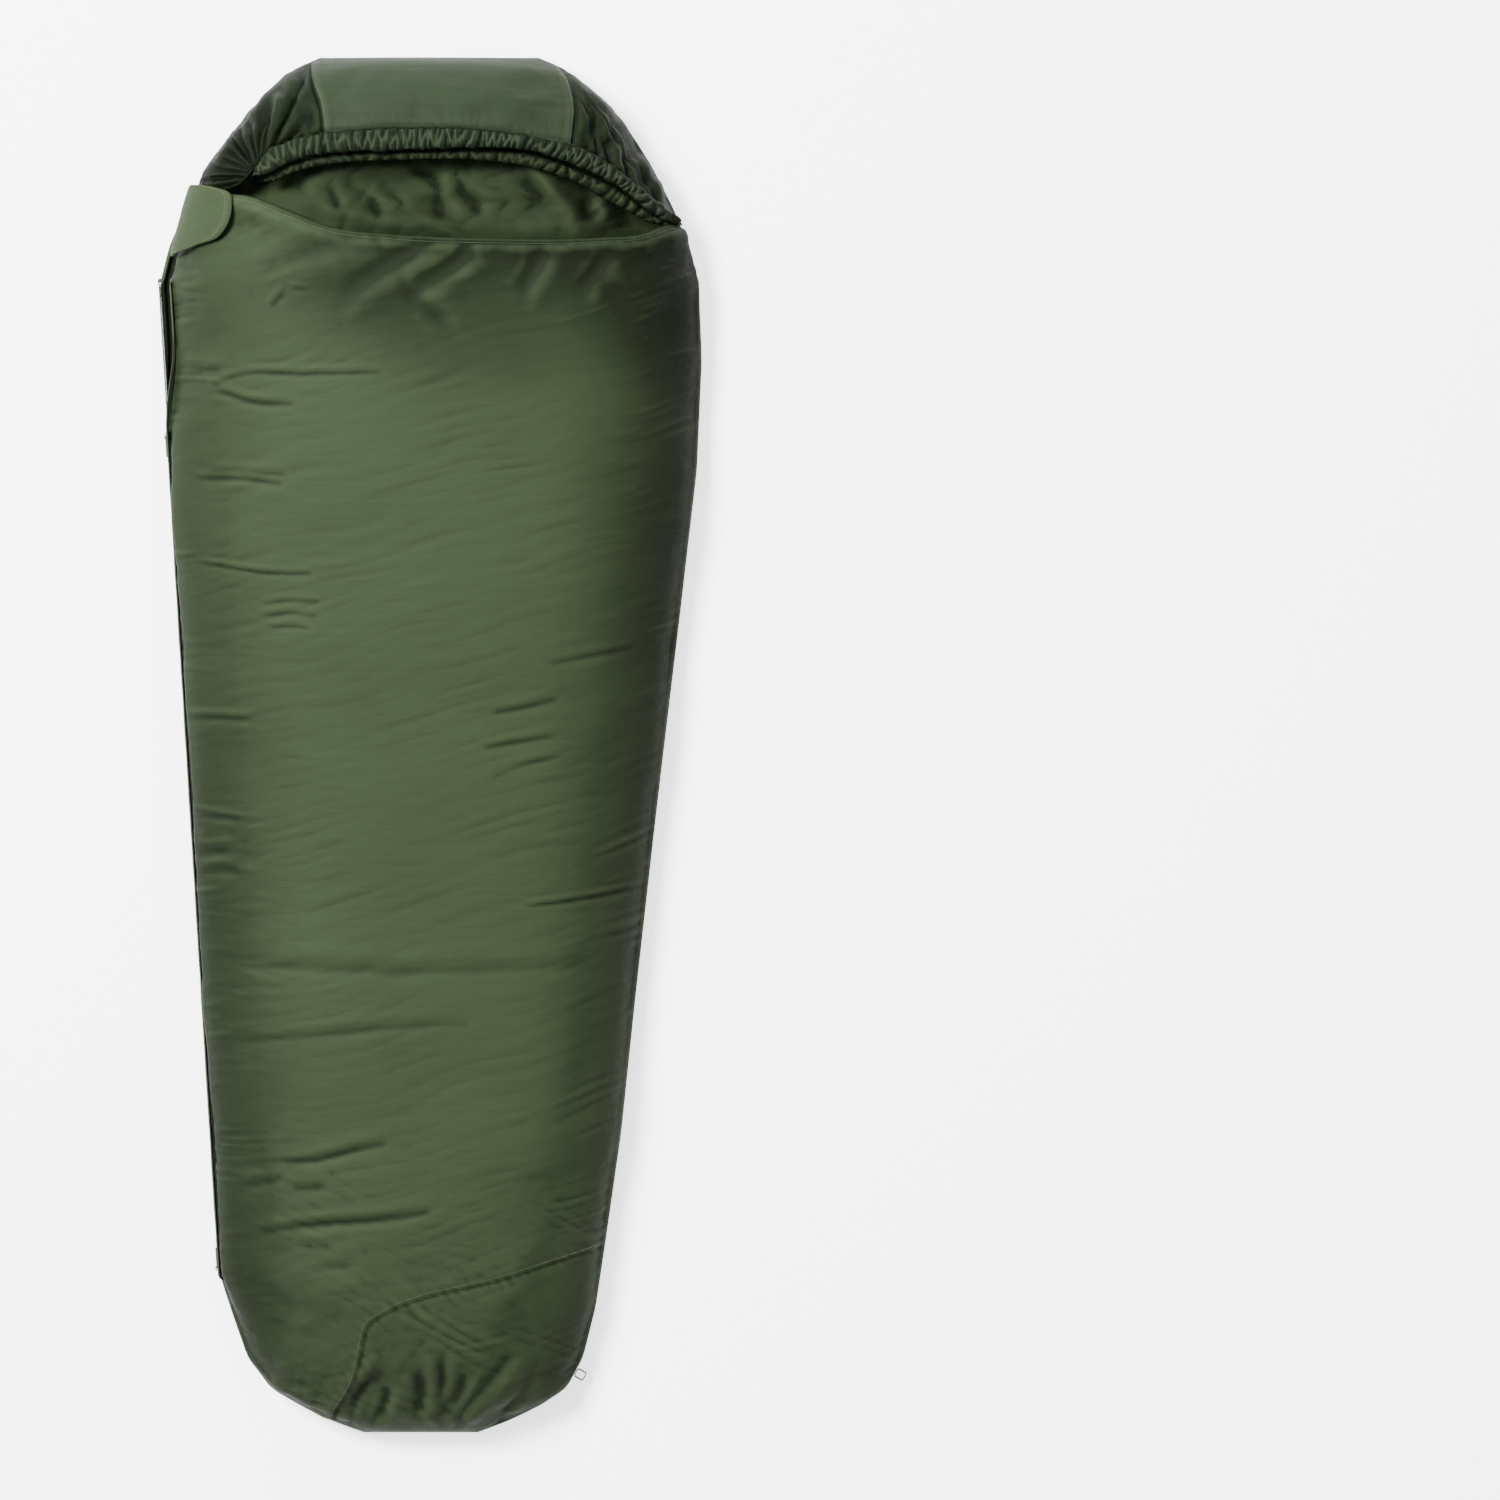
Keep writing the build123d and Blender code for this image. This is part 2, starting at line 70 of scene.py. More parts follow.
# The frame's own sizes, in metres. The bag lies on its back with its head towards +Y.
HALF_LENGTH = (cad_high.y - cad_low.y) / 2
BACK_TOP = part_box("back_shell")[1].z
ARCH_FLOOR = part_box("hood_center_panel")[0].z
ZIP_LOW, ZIP_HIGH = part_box("zip_coil_back")
SLIDER_TOP_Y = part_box("zip_slider_upper")[1].y
WIDE = (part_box("back_shell")[1].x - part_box("back_shell")[0].x) / 0.868
LONG = HALF_LENGTH / 1.1

# How far the front quilt's edge stands back from the open part of the zip
GAPE = 0.020
GAPE_RUN = 0.150
GAPE_END_Y = 0.930 * LONG

# Plan lines, left to right: the front quilt's hem, the hood's seam to its gathered channel, and the
# channel's free edge
HEM_LINE = [(-0.470, 0.874), (-0.366, 0.876), (-0.295, 0.876), (-0.224, 0.850), (-0.159, 0.825),
            (-0.048, 0.811), (0.080, 0.806), (0.271, 0.809), (0.345, 0.818),
            (0.370, 0.829), (0.386, 0.835), (0.470, 0.836)]
SEAM_LINE = [(-0.470, 0.884), (-0.366, 0.886), (-0.306, 0.893), (-0.271, 0.924), (-0.254, 0.943),
             (-0.217, 0.958), (-0.132, 0.971), (-0.030, 0.976), (0.080, 0.973), (0.170, 0.962),
             (0.267, 0.935), (0.328, 0.888), (0.364, 0.852), (0.382, 0.839), (0.470, 0.838)]
FREE_LINE = [(-0.278, 0.899), (-0.254, 0.906), (-0.229, 0.918), (-0.205, 0.929), (-0.156, 0.937),
             (-0.046, 0.940), (0.080, 0.944), (0.158, 0.941), (0.231, 0.919), (0.304, 0.884),
             (0.360, 0.842), (0.396, 0.829)]
TOE_SEAM = [(0.300, -0.795), (0.274, -0.801), (0.120, -0.846), (-0.073, -0.903), (-0.094, -0.917),
            (-0.106, -0.960), (-0.119, -1.009), (-0.150, -1.062), (-0.170, -1.100)]
HOOD_SEAMS = {"left": [(-0.196, 1.100), (-0.185, 1.047), (-0.173, 1.011), (-0.167, 0.966)],
              "right": [(0.196, 1.100), (0.223, 1.059), (0.233, 1.017), (0.229, 0.948)]}

# Creases of the front quilt: depth and width in millimetres, then the plan points of the line
CREASES = [
    (3.2, 9, [(-0.398, 0.597), (-0.355, 0.598), (-0.318, 0.595)]),
    (2.2, 5, [(-0.353, 0.568), (-0.301, 0.587), (-0.204, 0.587), (-0.065, 0.589)]),
    (2.6, 6, [(-0.349, 0.568), (-0.280, 0.544), (-0.204, 0.538)]),
    (2.8, 6, [(-0.377, 0.425), (-0.298, 0.422), (-0.221, 0.412)]),
    (2.2, 6, [(-0.360, 0.438), (-0.270, 0.431), (-0.216, 0.425)]),
    (1.4, 4, [(-0.221, 0.720), (-0.205, 0.721), (-0.186, 0.719)]),
    (1.8, 5, [(-0.255, 0.690), (-0.236, 0.708), (-0.222, 0.720)]),
    (6.0, 17, [(0.030, 0.812), (-0.060, 0.765), (-0.160, 0.700)]),
    (5.0, 16, [(-0.085, 0.810), (-0.180, 0.785), (-0.290, 0.752)]),
    (5.5, 14, [(0.085, 0.800), (0.030, 0.755), (-0.040, 0.720)]),
    (5.0, 14, [(0.190, 0.800), (0.165, 0.750), (0.130, 0.700)]),
    (4.5, 13, [(0.300, 0.800), (0.260, 0.745), (0.225, 0.705)]),
    (2.6, 14, [(-0.062, 0.734), (0.000, 0.686), (0.050, 0.655)]),
    (3.0, 16, [(0.250, 0.745), (0.300, 0.705), (0.350, 0.660)]),
    (2.0, 4, [(-0.365, 0.291), (-0.250, 0.272), (-0.178, 0.272)]),
    (1.2, 4, [(-0.267, 0.223), (-0.215, 0.229), (-0.165, 0.226)]),
    (1.2, 4, [(-0.265, 0.205), (-0.220, 0.209), (-0.170, 0.204)]),
    (1.2, 4, [(-0.255, 0.186), (-0.215, 0.188), (-0.180, 0.183)]),
    (2.2, 6, [(-0.384, 0.045), (-0.330, 0.044), (-0.272, 0.040)]),
    (2.4, 6, [(-0.368, -0.107), (-0.330, -0.113), (-0.293, -0.118)]),
    (3.6, 10, [(-0.372, -0.172), (-0.330, -0.168), (-0.300, -0.176)]),
    (3.2, 9, [(-0.372, -0.204), (-0.325, -0.196), (-0.285, -0.208)]),
    (1.8, 6, [(0.095, 0.049), (0.155, 0.060), (0.213, 0.075)]),
    (1.6, 6, [(0.185, 0.127), (0.260, 0.142), (0.336, 0.156)]),
    (1.6, 6, [(0.091, -0.051), (0.160, -0.030), (0.224, -0.013)]),
    (1.6, 6, [(0.080, -0.006), (0.145, 0.006), (0.207, 0.016)]),
    (2.2, 4, [(0.150, -0.256), (0.250, -0.243), (0.347, -0.224)]),
    (2.6, 13, [(-0.373, -0.331), (-0.200, -0.350), (-0.054, -0.358), (0.130, -0.352), (0.280, -0.347)]),
    (2.0, 9, [(-0.340, -0.470), (-0.200, -0.462), (-0.060, -0.446), (0.080, -0.440)]),
    (3.4, 8, [(-0.262, -0.662), (-0.169, -0.655), (-0.116, -0.640), (-0.053, -0.628)]),
    (2.4, 8, [(-0.304, -0.704), (-0.260, -0.694), (-0.218, -0.682)]),
    (2.8, 9, [(-0.232, -0.704), (-0.190, -0.702), (-0.151, -0.696)]),
    (4.0, 8, [(-0.277, -0.779), (-0.232, -0.767), (-0.169, -0.758), (-0.076, -0.751), (0.017, -0.735)]),
    (2.6, 10, [(-0.215, -0.793), (-0.175, -0.796), (-0.134, -0.793)]),
    (2.6, 12, [(-0.190, -0.822), (-0.140, -0.826), (-0.100, -0.822)]),
    (3.2, 18, [(-0.299, -0.820), (-0.250, -0.870), (-0.188, -0.901), (-0.099, -0.892)]),
    (2.6, 14, [(-0.270, -0.900), (-0.215, -0.930), (-0.150, -0.930)]),
    (6.0, 12, [(-0.142, -1.078), (-0.110, -1.030), (-0.062, -0.985)]),
    (6.0, 13, [(-0.030, -0.975), (-0.014, -1.022), (-0.030, -1.088)]),
    (4.5, 10, [(0.014, -0.960), (0.020, -1.000), (0.008, -1.060)]),
    (7.0, 12, [(0.143, -0.950), (0.099, -1.012), (0.026, -1.092)]),
    (5.5, 11, [(0.170, -0.995), (0.148, -1.040), (0.086, -1.086)]),
    (4.5, 10, [(0.060, -0.985), (0.045, -1.030), (0.000, -1.085)]),
    (3.5, 10, [(0.205, -1.000), (0.180, -1.035), (0.140, -1.066)]),
    (3.5, 9, [(-0.075, -1.000), (-0.070, -1.040), (-0.085, -1.085)]),
]

# Creases of the hood's outside and of the lining that shows in the face opening
HOOD_CREASES = [
    (4.0, 12, [(-0.330, 0.985), (-0.270, 0.990), (-0.215, 0.980)]),
    (4.5, 12, [(-0.300, 1.020), (-0.250, 1.010), (-0.190, 0.985)]),
    (5.0, 10, [(-0.255, 1.060), (-0.225, 1.030), (-0.180, 0.978)]),
    (4.0, 10, [(-0.340, 0.930), (-0.300, 0.940), (-0.262, 0.935)]),
    (3.0, 12, [(-0.215, 1.085), (-0.192, 1.030), (-0.172, 0.985)]),
    (1.8, 12, [(-0.090, 1.000), (0.000, 1.004), (0.110, 1.002)]),
    (1.4, 10, [(-0.060, 0.990), (0.040, 0.993), (0.120, 0.990)]),
    (3.6, 9, [(0.252, 1.020), (0.262, 0.985), (0.245, 0.955)]),
    (4.0, 9, [(0.290, 1.000), (0.290, 0.965), (0.275, 0.935)]),
    (4.5, 10, [(0.335, 0.960), (0.315, 0.935), (0.300, 0.912)]),
    (4.5, 9, [(0.360, 0.925), (0.345, 0.900), (0.325, 0.890)]),
    (3.5, 9, [(0.380, 0.885), (0.368, 0.868), (0.350, 0.868)]),
]
LINING_CREASES = [
    (14, 22, [(0.120, 0.885), (0.160, 0.868), (0.185, 0.835), (0.178, 0.812)]),
    (-12, 20, [(0.150, 0.900), (0.195, 0.872), (0.222, 0.832)]),
    (13, 15, [(0.232, 0.885), (0.248, 0.850), (0.262, 0.815)]),
    (-9, 13, [(0.262, 0.880), (0.280, 0.850), (0.286, 0.820)]),
    (9, 16, [(-0.120, 0.895), (-0.060, 0.890), (0.010, 0.905), (0.060, 0.900)]),
    (8, 14, [(-0.010, 0.880), (0.015, 0.850), (0.030, 0.822)]),
    (7, 12, [(0.030, 0.885), (0.070, 0.862), (0.095, 0.838)]),
    (6, 10, [(-0.110, 0.868), (-0.085, 0.852), (-0.066, 0.838)]),
    (6, 10, [(-0.170, 0.880), (-0.150, 0.862), (-0.128, 0.846)]),
    (-7, 18, [(-0.205, 0.880), (-0.140, 0.850), (-0.050, 0.832), (0.060, 0.828)]),
    (6, 9, [(-0.045, 0.918), (0.000, 0.900), (0.030, 0.870)]),
    (7, 12, [(-0.250, 0.905), (-0.215, 0.892), (-0.180, 0.905)]),
]


# ---------------------------------------------------------------- sums on grids of points


def noise(x, y, seed=0):
    """Smooth gradient noise, between about -1 and 1. Its rows are shifted, so that no lines show."""
    x = x + 0.37 * y
    column, row = np.floor(x).astype(np.int64), np.floor(y).astype(np.int64)
    across, along = x - column, y - row

    def corner(step_x, step_y):
        key = (column + step_x) * 374761393 + (row + step_y) * 668265263 + seed * 144269504
        key = ((key ^ (key >> 13)) * 1274126177) & 0x7FFFFFFF
        turn = ((key ^ (key >> 16)) % 4096) * (math.tau / 4096)
        return np.cos(turn) * (across - step_x) + np.sin(turn) * (along - step_y)

    ease_x = across**3 * (across * (across * 6 - 15) + 10)
    ease_y = along**3 * (along * (along * 6 - 15) + 10)
    low = corner(0, 0) * (1 - ease_x) + corner(1, 0) * ease_x
    high = corner(0, 1) * (1 - ease_x) + corner(1, 1) * ease_x
    return 1.5 * (low * (1 - ease_y) + high * ease_y)


def folds(x, y, seed=0):
    """Noise with soft hills and sharp valleys, like cloth that is pushed together. Its mean is near 0."""
    return 1.3 * np.abs(noise(x, y, seed)) - 0.4


def ease(value, low, high):
    """0 below low, 1 above high and smooth between."""
    share = np.clip((value - low) / (high - low), 0.0, 1.0)
    return share * share * (3 - 2 * share)


def through(x, points):
    """A smooth curve through plan points, as y at each x."""
    xs, ys = (np.array(column, float) for column in zip(*points))
    slopes = np.gradient(ys, xs)
    i = np.clip(np.searchsorted(xs, x) - 1, 0, len(xs) - 2)
    step = xs[i + 1] - xs[i]
    share = np.clip((x - xs[i]) / step, 0.0, 1.0)
    rise = ys[i + 1] - ys[i]
    cubic = (slopes[i] * step + slopes[i + 1] * step - 2 * rise) * share
    square = 3 * rise - (2 * slopes[i] + slopes[i + 1]) * step
    return ys[i] + share * (slopes[i] * step + share * (square + cubic))


def scaled(points):
    """Plan points, scaled with the frame."""
    return [(x * WIDE, y * LONG) for x, y in points]


def fine_line(points, count):
    """Evenly spaced points on a smooth curve through a few plan points."""
    corners = np.array(points, float)
    run = np.concatenate([[0], np.cumsum(np.linalg.norm(np.diff(corners, axis=0), axis=1))])
    dense = np.linspace(0, run[-1], 400)
    path = np.stack([through(dense, list(zip(run, corners[:, k]))) for k in (0, 1)], axis=1)
    travelled = np.concatenate([[0], np.cumsum(np.linalg.norm(np.diff(path, axis=0), axis=1))])
    even = np.linspace(0, travelled[-1], count)
    return np.stack([np.interp(even, travelled, path[:, k]) for k in (0, 1)], axis=1)


def beside_line(x, y, line):
    """Each point's signed distance from a plan line, and its place along it from 0 to 1."""
    best = np.full(x.shape, 1e9)
    side, place = np.zeros(x.shape), np.zeros(x.shape)
    line = np.asarray(line, float)
    for k, (start, end) in enumerate(zip(line[:-1], line[1:])):
        run = end - start
        share = np.clip(((x - start[0]) * run[0] + (y - start[1]) * run[1]) / (run @ run), 0.0, 1.0)
        away_x, away_y = x - start[0] - share * run[0], y - start[1] - share * run[1]
        gap = np.hypot(away_x, away_y)
        near = gap < best
        best = np.where(near, gap, best)
        turn = np.sign(run[0] * away_y - run[1] * away_x)
        side, place = np.where(near, turn, side), np.where(near, (k + share) / (len(line) - 1), place)
    return best * np.where(side == 0, 1.0, side), place


def creases(x, y, table):
    """Height of creases, in metres: each a valley with a lower ridge beside it, fading at both ends."""
    total = np.zeros(x.shape)
    for depth, width, points in table:
        line = fine_line(scaled(points), 14)
        depth, width = depth / 1000, width / 1000
        low, high = line.min(axis=0) - 5 * width, line.max(axis=0) + 5 * width
        near = (x > low[0]) & (x < high[0]) & (y > low[1]) & (y < high[1])
        gap, place = beside_line(x[near], y[near], line)
        from_start = np.hypot(x[near] - line[0][0], y[near] - line[0][1])
        from_end = np.hypot(x[near] - line[-1][0], y[near] - line[-1][1])
        ends = ease(np.minimum(from_start, from_end), 0.0, 3 * width)
        fade = np.sqrt(np.clip(4 * place * (1 - place), 0, 1)) * ends
        valley = np.exp(-((gap / width) ** 2))
        ridge = 0.55 * np.exp(-(((gap - 1.9 * width) / (1.3 * width)) ** 2))
        total[near] += depth * fade * (ridge - valley)
    return total


def normals(points):
    """Unit normals of a grid of points, on the side that faces up on the whole."""
    along, across = np.gradient(points, axis=0), np.gradient(points, axis=1)
    square = np.cross(across, along)
    square = square if square[..., 2].mean() > 0 else -square
    return square / np.maximum(np.linalg.norm(square, axis=2, keepdims=True), 1e-12)


def finer(points):
    """A grid with a smooth new row and column between each two."""
    for axis in (0, 1):
        points = np.moveaxis(points, axis, 0)
        ends = (2 * points[:1] - points[1:2], 2 * points[-1:] - points[-2:-1])
        long = np.concatenate([ends[0], points, ends[1]])
        middle = (9 * (long[1:-2] + long[2:-1]) - long[:-3] - long[3:]) / 16
        mixed = np.empty((2 * len(points) - 1,) + points.shape[1:])
        mixed[::2], mixed[1::2] = points, middle
        points = np.moveaxis(mixed, 0, axis)
    return points


def from_edges(points):
    """Distance of each point of a grid from the grid's left, right, first and last edges, on the surface."""
    across = np.linalg.norm(np.diff(points, axis=1), axis=2)
    along = np.linalg.norm(np.diff(points, axis=0), axis=2)
    left = np.concatenate([np.zeros((len(points), 1)), np.cumsum(across, axis=1)], axis=1)
    first = np.concatenate([np.zeros((1, points.shape[1])), np.cumsum(along, axis=0)])
    return left, left[:, -1:] - left, first, first[-1:] - first


# ---------------------------------------------------------------- the bag's form, from the frame


def tree_of(*nodes):
    """One search tree over CAD nodes."""
    corners, faces = [], []
    for node in nodes:
        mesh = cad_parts[node].data
        start = len(corners)
        corners += [tuple(v.co) for v in mesh.vertices]
        faces += [[start + k for k in polygon.vertices] for polygon in mesh.polygons]
    return BVHTree.FromPolygons(corners, faces)


class Form:
    """The bag's plan outline and its crown line, read from the frame and made smooth."""

    def __init__(self, samples=110):
        side = tree_of("back_shell")
        crown = tree_of("front_shell", "toe_panel", "hood_left_panel", "hood_center_panel",
                        "hood_right_panel")
        self.y = -HALF_LENGTH * np.cos(np.linspace(0, math.pi, samples))
        height = 0.8 * BACK_TOP
        left, right, top = [], [], []
        for y in np.clip(self.y, -0.999 * HALF_LENGTH, 0.999 * HALF_LENGTH):
            left.append(side.ray_cast(Vector((-2, y, height)), Vector((1, 0, 0)))[0].x)
            right.append(side.ray_cast(Vector((2, y, height)), Vector((-1, 0, 0)))[0].x)
            hit = crown.ray_cast(Vector(((left[-1] + right[-1]) / 2, y, 2)), Vector((0, 0, -1)))[0]
            top.append(hit.z if hit else math.nan)
        top = np.array(top)
        known = ~np.isnan(top)
        top = np.interp(self.y, self.y[known], top[known])
        left, right = np.array(left), np.array(right)
        self.left_edge = np.minimum(left, self.smooth(left)) - 0.001
        self.right_edge = np.maximum(right, self.smooth(right))
        self.crown = self.smooth(self.smooth(top))

    def smooth(self, row):
        """A row of values with its corners rounded."""
        row = row.copy()
        for _ in range(3):
            row[1:-1] = (row[:-2] + 2 * row[1:-1] + row[2:]) / 4
        return row

    def left(self, y):
        return through(y, list(zip(self.y, self.left_edge)))

    def right(self, y):
        return through(y, list(zip(self.y, self.right_edge)))

    def front_left(self, y):
        """The front quilt's left edge, which stands back where the zip is open."""
        opening, closing = (y - SLIDER_TOP_Y) / GAPE_RUN, (GAPE_END_Y - y) / GAPE_RUN
        return self.left(y) + GAPE * ease(np.minimum(opening, closing), 0.0, 1.0)

    def rise(self, y):
        """Height of the arch over its floor, rounded down to nothing at the toe and the crown."""
        top = through(y, list(zip(self.y, self.crown))) - ARCH_FLOOR
        round_off = 0.050
        into = np.clip((np.abs(y) - HALF_LENGTH + round_off) / round_off, 0.0, 1.0)
        return top * np.sqrt(1 - into**2) ** 0.9

    def arch(self, angle, y):
        """A point of the arch at an angle from its left foot, 0 to pi, as a fuller curve than an ellipse."""
        left, right = self.front_left(y), self.right(y)
        fullness = 2 / 2.35
        cosine, sine = np.cos(angle), np.abs(np.sin(angle))
        x = (left + right) / 2 - (right - left) / 2 * np.sign(cosine) * np.abs(cosine) ** fullness
        return np.stack([x, y, ARCH_FLOOR + self.rise(y) * sine**fullness], axis=-1)

    def height(self, x, y):
        """Height of the arch over a plan point."""
        left, right = self.front_left(y), self.right(y)
        share = np.clip(np.abs(2 * x - left - right) / (right - left), 0.0, 1.0)
        return ARCH_FLOOR + self.rise(y) * (1 - share**2.35) ** (1 / 2.35)

    def arch_grid(self, angles, line, end_y, rows):
        """A grid over the arch from a plan line to a straight row at end_y."""
        start = np.full(angles.shape, np.mean([y for _, y in line]))
        for _ in range(12):
            start = through(self.arch(angles, start)[:, 0], line)
        y = start[None, :] + (end_y - start[None, :]) * rows[:, None]
        return self.arch(np.broadcast_to(angles, y.shape), y)


form = Form()


# ---------------------------------------------------------------- meshes


def mesh_object(name, corners, faces, finishes, face_finish=None, uv=None, crease_depth=None, painted_shade_tone=None):
    """A smooth mesh object with its finishes, its cloth coordinates, how deep in a crease each point is and
    how much painted shade darkens each point."""
    mesh = bpy.data.meshes.new(name)
    mesh.from_pydata([tuple(c) for c in corners], [], faces)
    for finish in finishes:
        mesh.materials.append(finish)
    if face_finish is not None:
        mesh.polygons.foreach_set("material_index", np.asarray(face_finish, np.int32))
    mesh.polygons.foreach_set("use_smooth", np.ones(len(mesh.polygons), bool))
    if uv is not None:
        loops = np.zeros(len(mesh.loops), np.int32)
        mesh.loops.foreach_get("vertex_index", loops)
        mesh.uv_layers.new(name="cloth").data.foreach_set("uv", np.asarray(uv, np.float32)[loops].ravel())
    if crease_depth is not None:
        layer = mesh.attributes.new("crease", "FLOAT", "POINT")
        layer.data.foreach_set("value", np.asarray(crease_depth, np.float32).ravel())
    if painted_shade_tone is not None:
        layer = mesh.attributes.new("painted_shade_tone", "FLOAT", "POINT")
        layer.data.foreach_set("value", np.asarray(painted_shade_tone, np.float32).ravel())
    closed = bmesh.new()
    closed.from_mesh(mesh)
    bmesh.ops.recalc_face_normals(closed, faces=closed.faces)
    closed.to_mesh(mesh)
    closed.free()
    piece = bpy.data.objects.new(name, mesh)
    bpy.context.scene.collection.objects.link(piece)
    return piece


def grid_faces(rows, columns, start=0, flip=False, wrap=False):
    """Quads over a grid of points, closed round its columns if wrap is set."""
    row, column = np.meshgrid(np.arange(rows - 1), np.arange(columns if wrap else columns - 1), indexing="ij")
    after = (column + 1) % columns
    here, above = row * columns, (row + 1) * columns
    quads = [here + column, here + after, above + after, above + column]
    quads = np.stack(quads[::-1] if flip else quads, axis=-1).reshape(-1, 4) + start
    return quads.tolist()


def border(rows, columns, start=0):
    """The indices round a grid's edge, in order."""
    index = np.arange(rows * columns).reshape(rows, columns) + start
    return np.concatenate([index[0, :-1], index[:-1, -1], index[-1, :0:-1], index[:0:-1, 0]])


def cloth_uv(points):
    left, _, first, _ = from_edges(points)
    middle = left[:, left.shape[1] // 2][:, None]
    return np.stack([left - middle, first], axis=-1).reshape(-1, 2)


def blurred(points, reach):
    """A grid of points, each at the mean of those within about reach of it."""
    for axis in (0, 1):
        points = np.moveaxis(points, axis, 0)
        step = np.median(np.linalg.norm(np.diff(points, axis=0), axis=-1))
        k = int(np.clip(round(reach / max(step, 1e-5)), 1, (len(points) - 1) // 2))
        ahead = 2 * points[-1:] - points[-2:-k - 2:-1]
        behind = 2 * points[:1] - points[k:0:-1]
        total = np.cumsum(np.concatenate([np.zeros_like(points[:1]), behind, points, ahead]), axis=0)
        points = np.moveaxis((total[2 * k + 1:] - total[:-2 * k - 1]) / (2 * k + 1), 0, axis)
    return points


def crease_of(points, reach=0.007, full=0.0011):
    """How far each point lies below the cloth around it, from -1 on a crest to 1 in a crease."""
    around = blurred(points, reach) - points
    return np.clip(np.sum(around * normals(points), axis=2) / full, -1, 1)


def quilt(name, outer, inner, outer_finish, inner_finish, painted_shade_tone=None):
    """A closed quilt: a fine outer grid and an inner grid of half as many rows and columns, sewn together."""
    rows, columns = outer.shape[:2]
    inner_rows, inner_columns = inner.shape[:2]
    corners = np.concatenate([outer.reshape(-1, 3), inner.reshape(-1, 3)])
    start = rows * columns
    faces = grid_faces(rows, columns) + grid_faces(inner_rows, inner_columns, start, flip=True)
    outer_count = (rows - 1) * (columns - 1)
    fine, coarse = border(rows, columns), border(inner_rows, inner_columns, start)
    for k in range(len(coarse)):
        a, b, c = fine[2 * k], fine[2 * k + 1], fine[(2 * k + 2) % len(fine)]
        p, q = coarse[k], coarse[(k + 1) % len(coarse)]
        faces += [[int(b), int(a), int(p)], [int(b), int(p), int(q)], [int(c), int(b), int(q)]]
    which = np.zeros(len(faces), np.int32)
    which[outer_count:outer_count + (inner_rows - 1) * (inner_columns - 1)] = 1
    uv = np.concatenate([cloth_uv(outer), cloth_uv(inner)])
    depth = np.concatenate([crease_of(outer).ravel(), np.zeros(inner_rows * inner_columns)])
    if painted_shade_tone is not None:
        painted_shade_tone = np.concatenate([painted_shade_tone.ravel(), np.zeros(inner_rows * inner_columns)])
    return mesh_object(name, corners, faces, [outer_finish, inner_finish], which, uv, depth, painted_shade_tone)


def tube(name, path, radius, finish, sides=12, shape=None):
    """A closed tube along 3-D points. shape(out, across, turn) may change the section's offsets."""
    path = np.asarray(path, float)
    direction = np.gradient(path, axis=0)
    direction /= np.linalg.norm(direction, axis=1, keepdims=True)
    up = np.array([0.0, 0.0, 1.0]) - direction * direction[:, 2:3]
    up /= np.linalg.norm(up, axis=1, keepdims=True)
    side = np.cross(direction, up)
    turn = np.linspace(0, math.tau, sides, endpoint=False)
    out, across = np.cos(turn)[None, :] * radius, np.sin(turn)[None, :] * radius
    out, across = np.broadcast_to(out, (len(path), sides)), np.broadcast_to(across, (len(path), sides))
    if shape is not None:
        out, across = shape(out, across, turn)
    corners = path[:, None, :] + up[:, None, :] * out[..., None] + side[:, None, :] * across[..., None]
    faces = grid_faces(len(path), sides, wrap=True)
    last = (len(path) - 1) * sides
    faces += [list(range(sides))[::-1], list(range(last, last + sides))]
    travelled = np.concatenate([[0], np.cumsum(np.linalg.norm(np.diff(path, axis=0), axis=1))])
    uv = np.stack([np.broadcast_to(turn * np.mean(radius), out.shape),
                   np.broadcast_to(travelled[:, None], out.shape)], axis=-1).reshape(-1, 2)
    depth = crease_of(corners).ravel()
    return mesh_object(name, corners.reshape(-1, 3), faces, [finish], uv=uv, crease_depth=depth)


def settle(points, held, growth, pressure, limit, frames=18):
    """Lets a grid of cloth settle by simulation: the held points stay, the cloth is a little too large for
    its edges and air from below fills it, and no point moves further than limit."""
    rows, columns = points.shape[:2]
    cloth = mesh_object("settling_cloth", points.reshape(-1, 3), grid_faces(rows, columns), [])
    group = cloth.vertex_groups.new(name="held")
    for weight in np.unique(np.round(held, 2)):
        if weight > 0:
            chosen = np.flatnonzero(np.round(held, 2).ravel() == weight)
            group.add([int(k) for k in chosen], float(weight), "REPLACE")
    modifier = cloth.modifiers.new("Cloth", "CLOTH")
    rules = modifier.settings
    rules.quality, rules.mass = 5, 0.12
    rules.tension_stiffness, rules.compression_stiffness, rules.shear_stiffness = 25, 25, 12
    rules.bending_stiffness = 0.4
    rules.use_pressure, rules.uniform_pressure_force = True, pressure
    rules.vertex_group_mass, rules.shrink_min = "held", -growth
    rules.effector_weights.gravity = 0
    modifier.collision_settings.use_collision = False
    modifier.point_cache.frame_start, modifier.point_cache.frame_end = 1, frames
    scene = bpy.context.scene
    for step in range(1, frames + 1):
        scene.frame_set(step)
    moved = cloth.evaluated_get(bpy.context.evaluated_depsgraph_get()).to_mesh()
    place = np.zeros(rows * columns * 3)
    moved.vertices.foreach_get("co", place)
    shift = place.reshape(points.shape) - points
    far = np.linalg.norm(shift, axis=2, keepdims=True)
    shift *= limit / np.sqrt(limit**2 + far**2)
    print("settled", rows * columns, "points, mean move", round(float(far.mean()) * 1000, 2), "mm")
    bpy.data.objects.remove(cloth)
    scene.frame_set(1)
    return points + blurred(points + shift, 0.012) - blurred(points, 0.012)


# ---------------------------------------------------------------- finishes


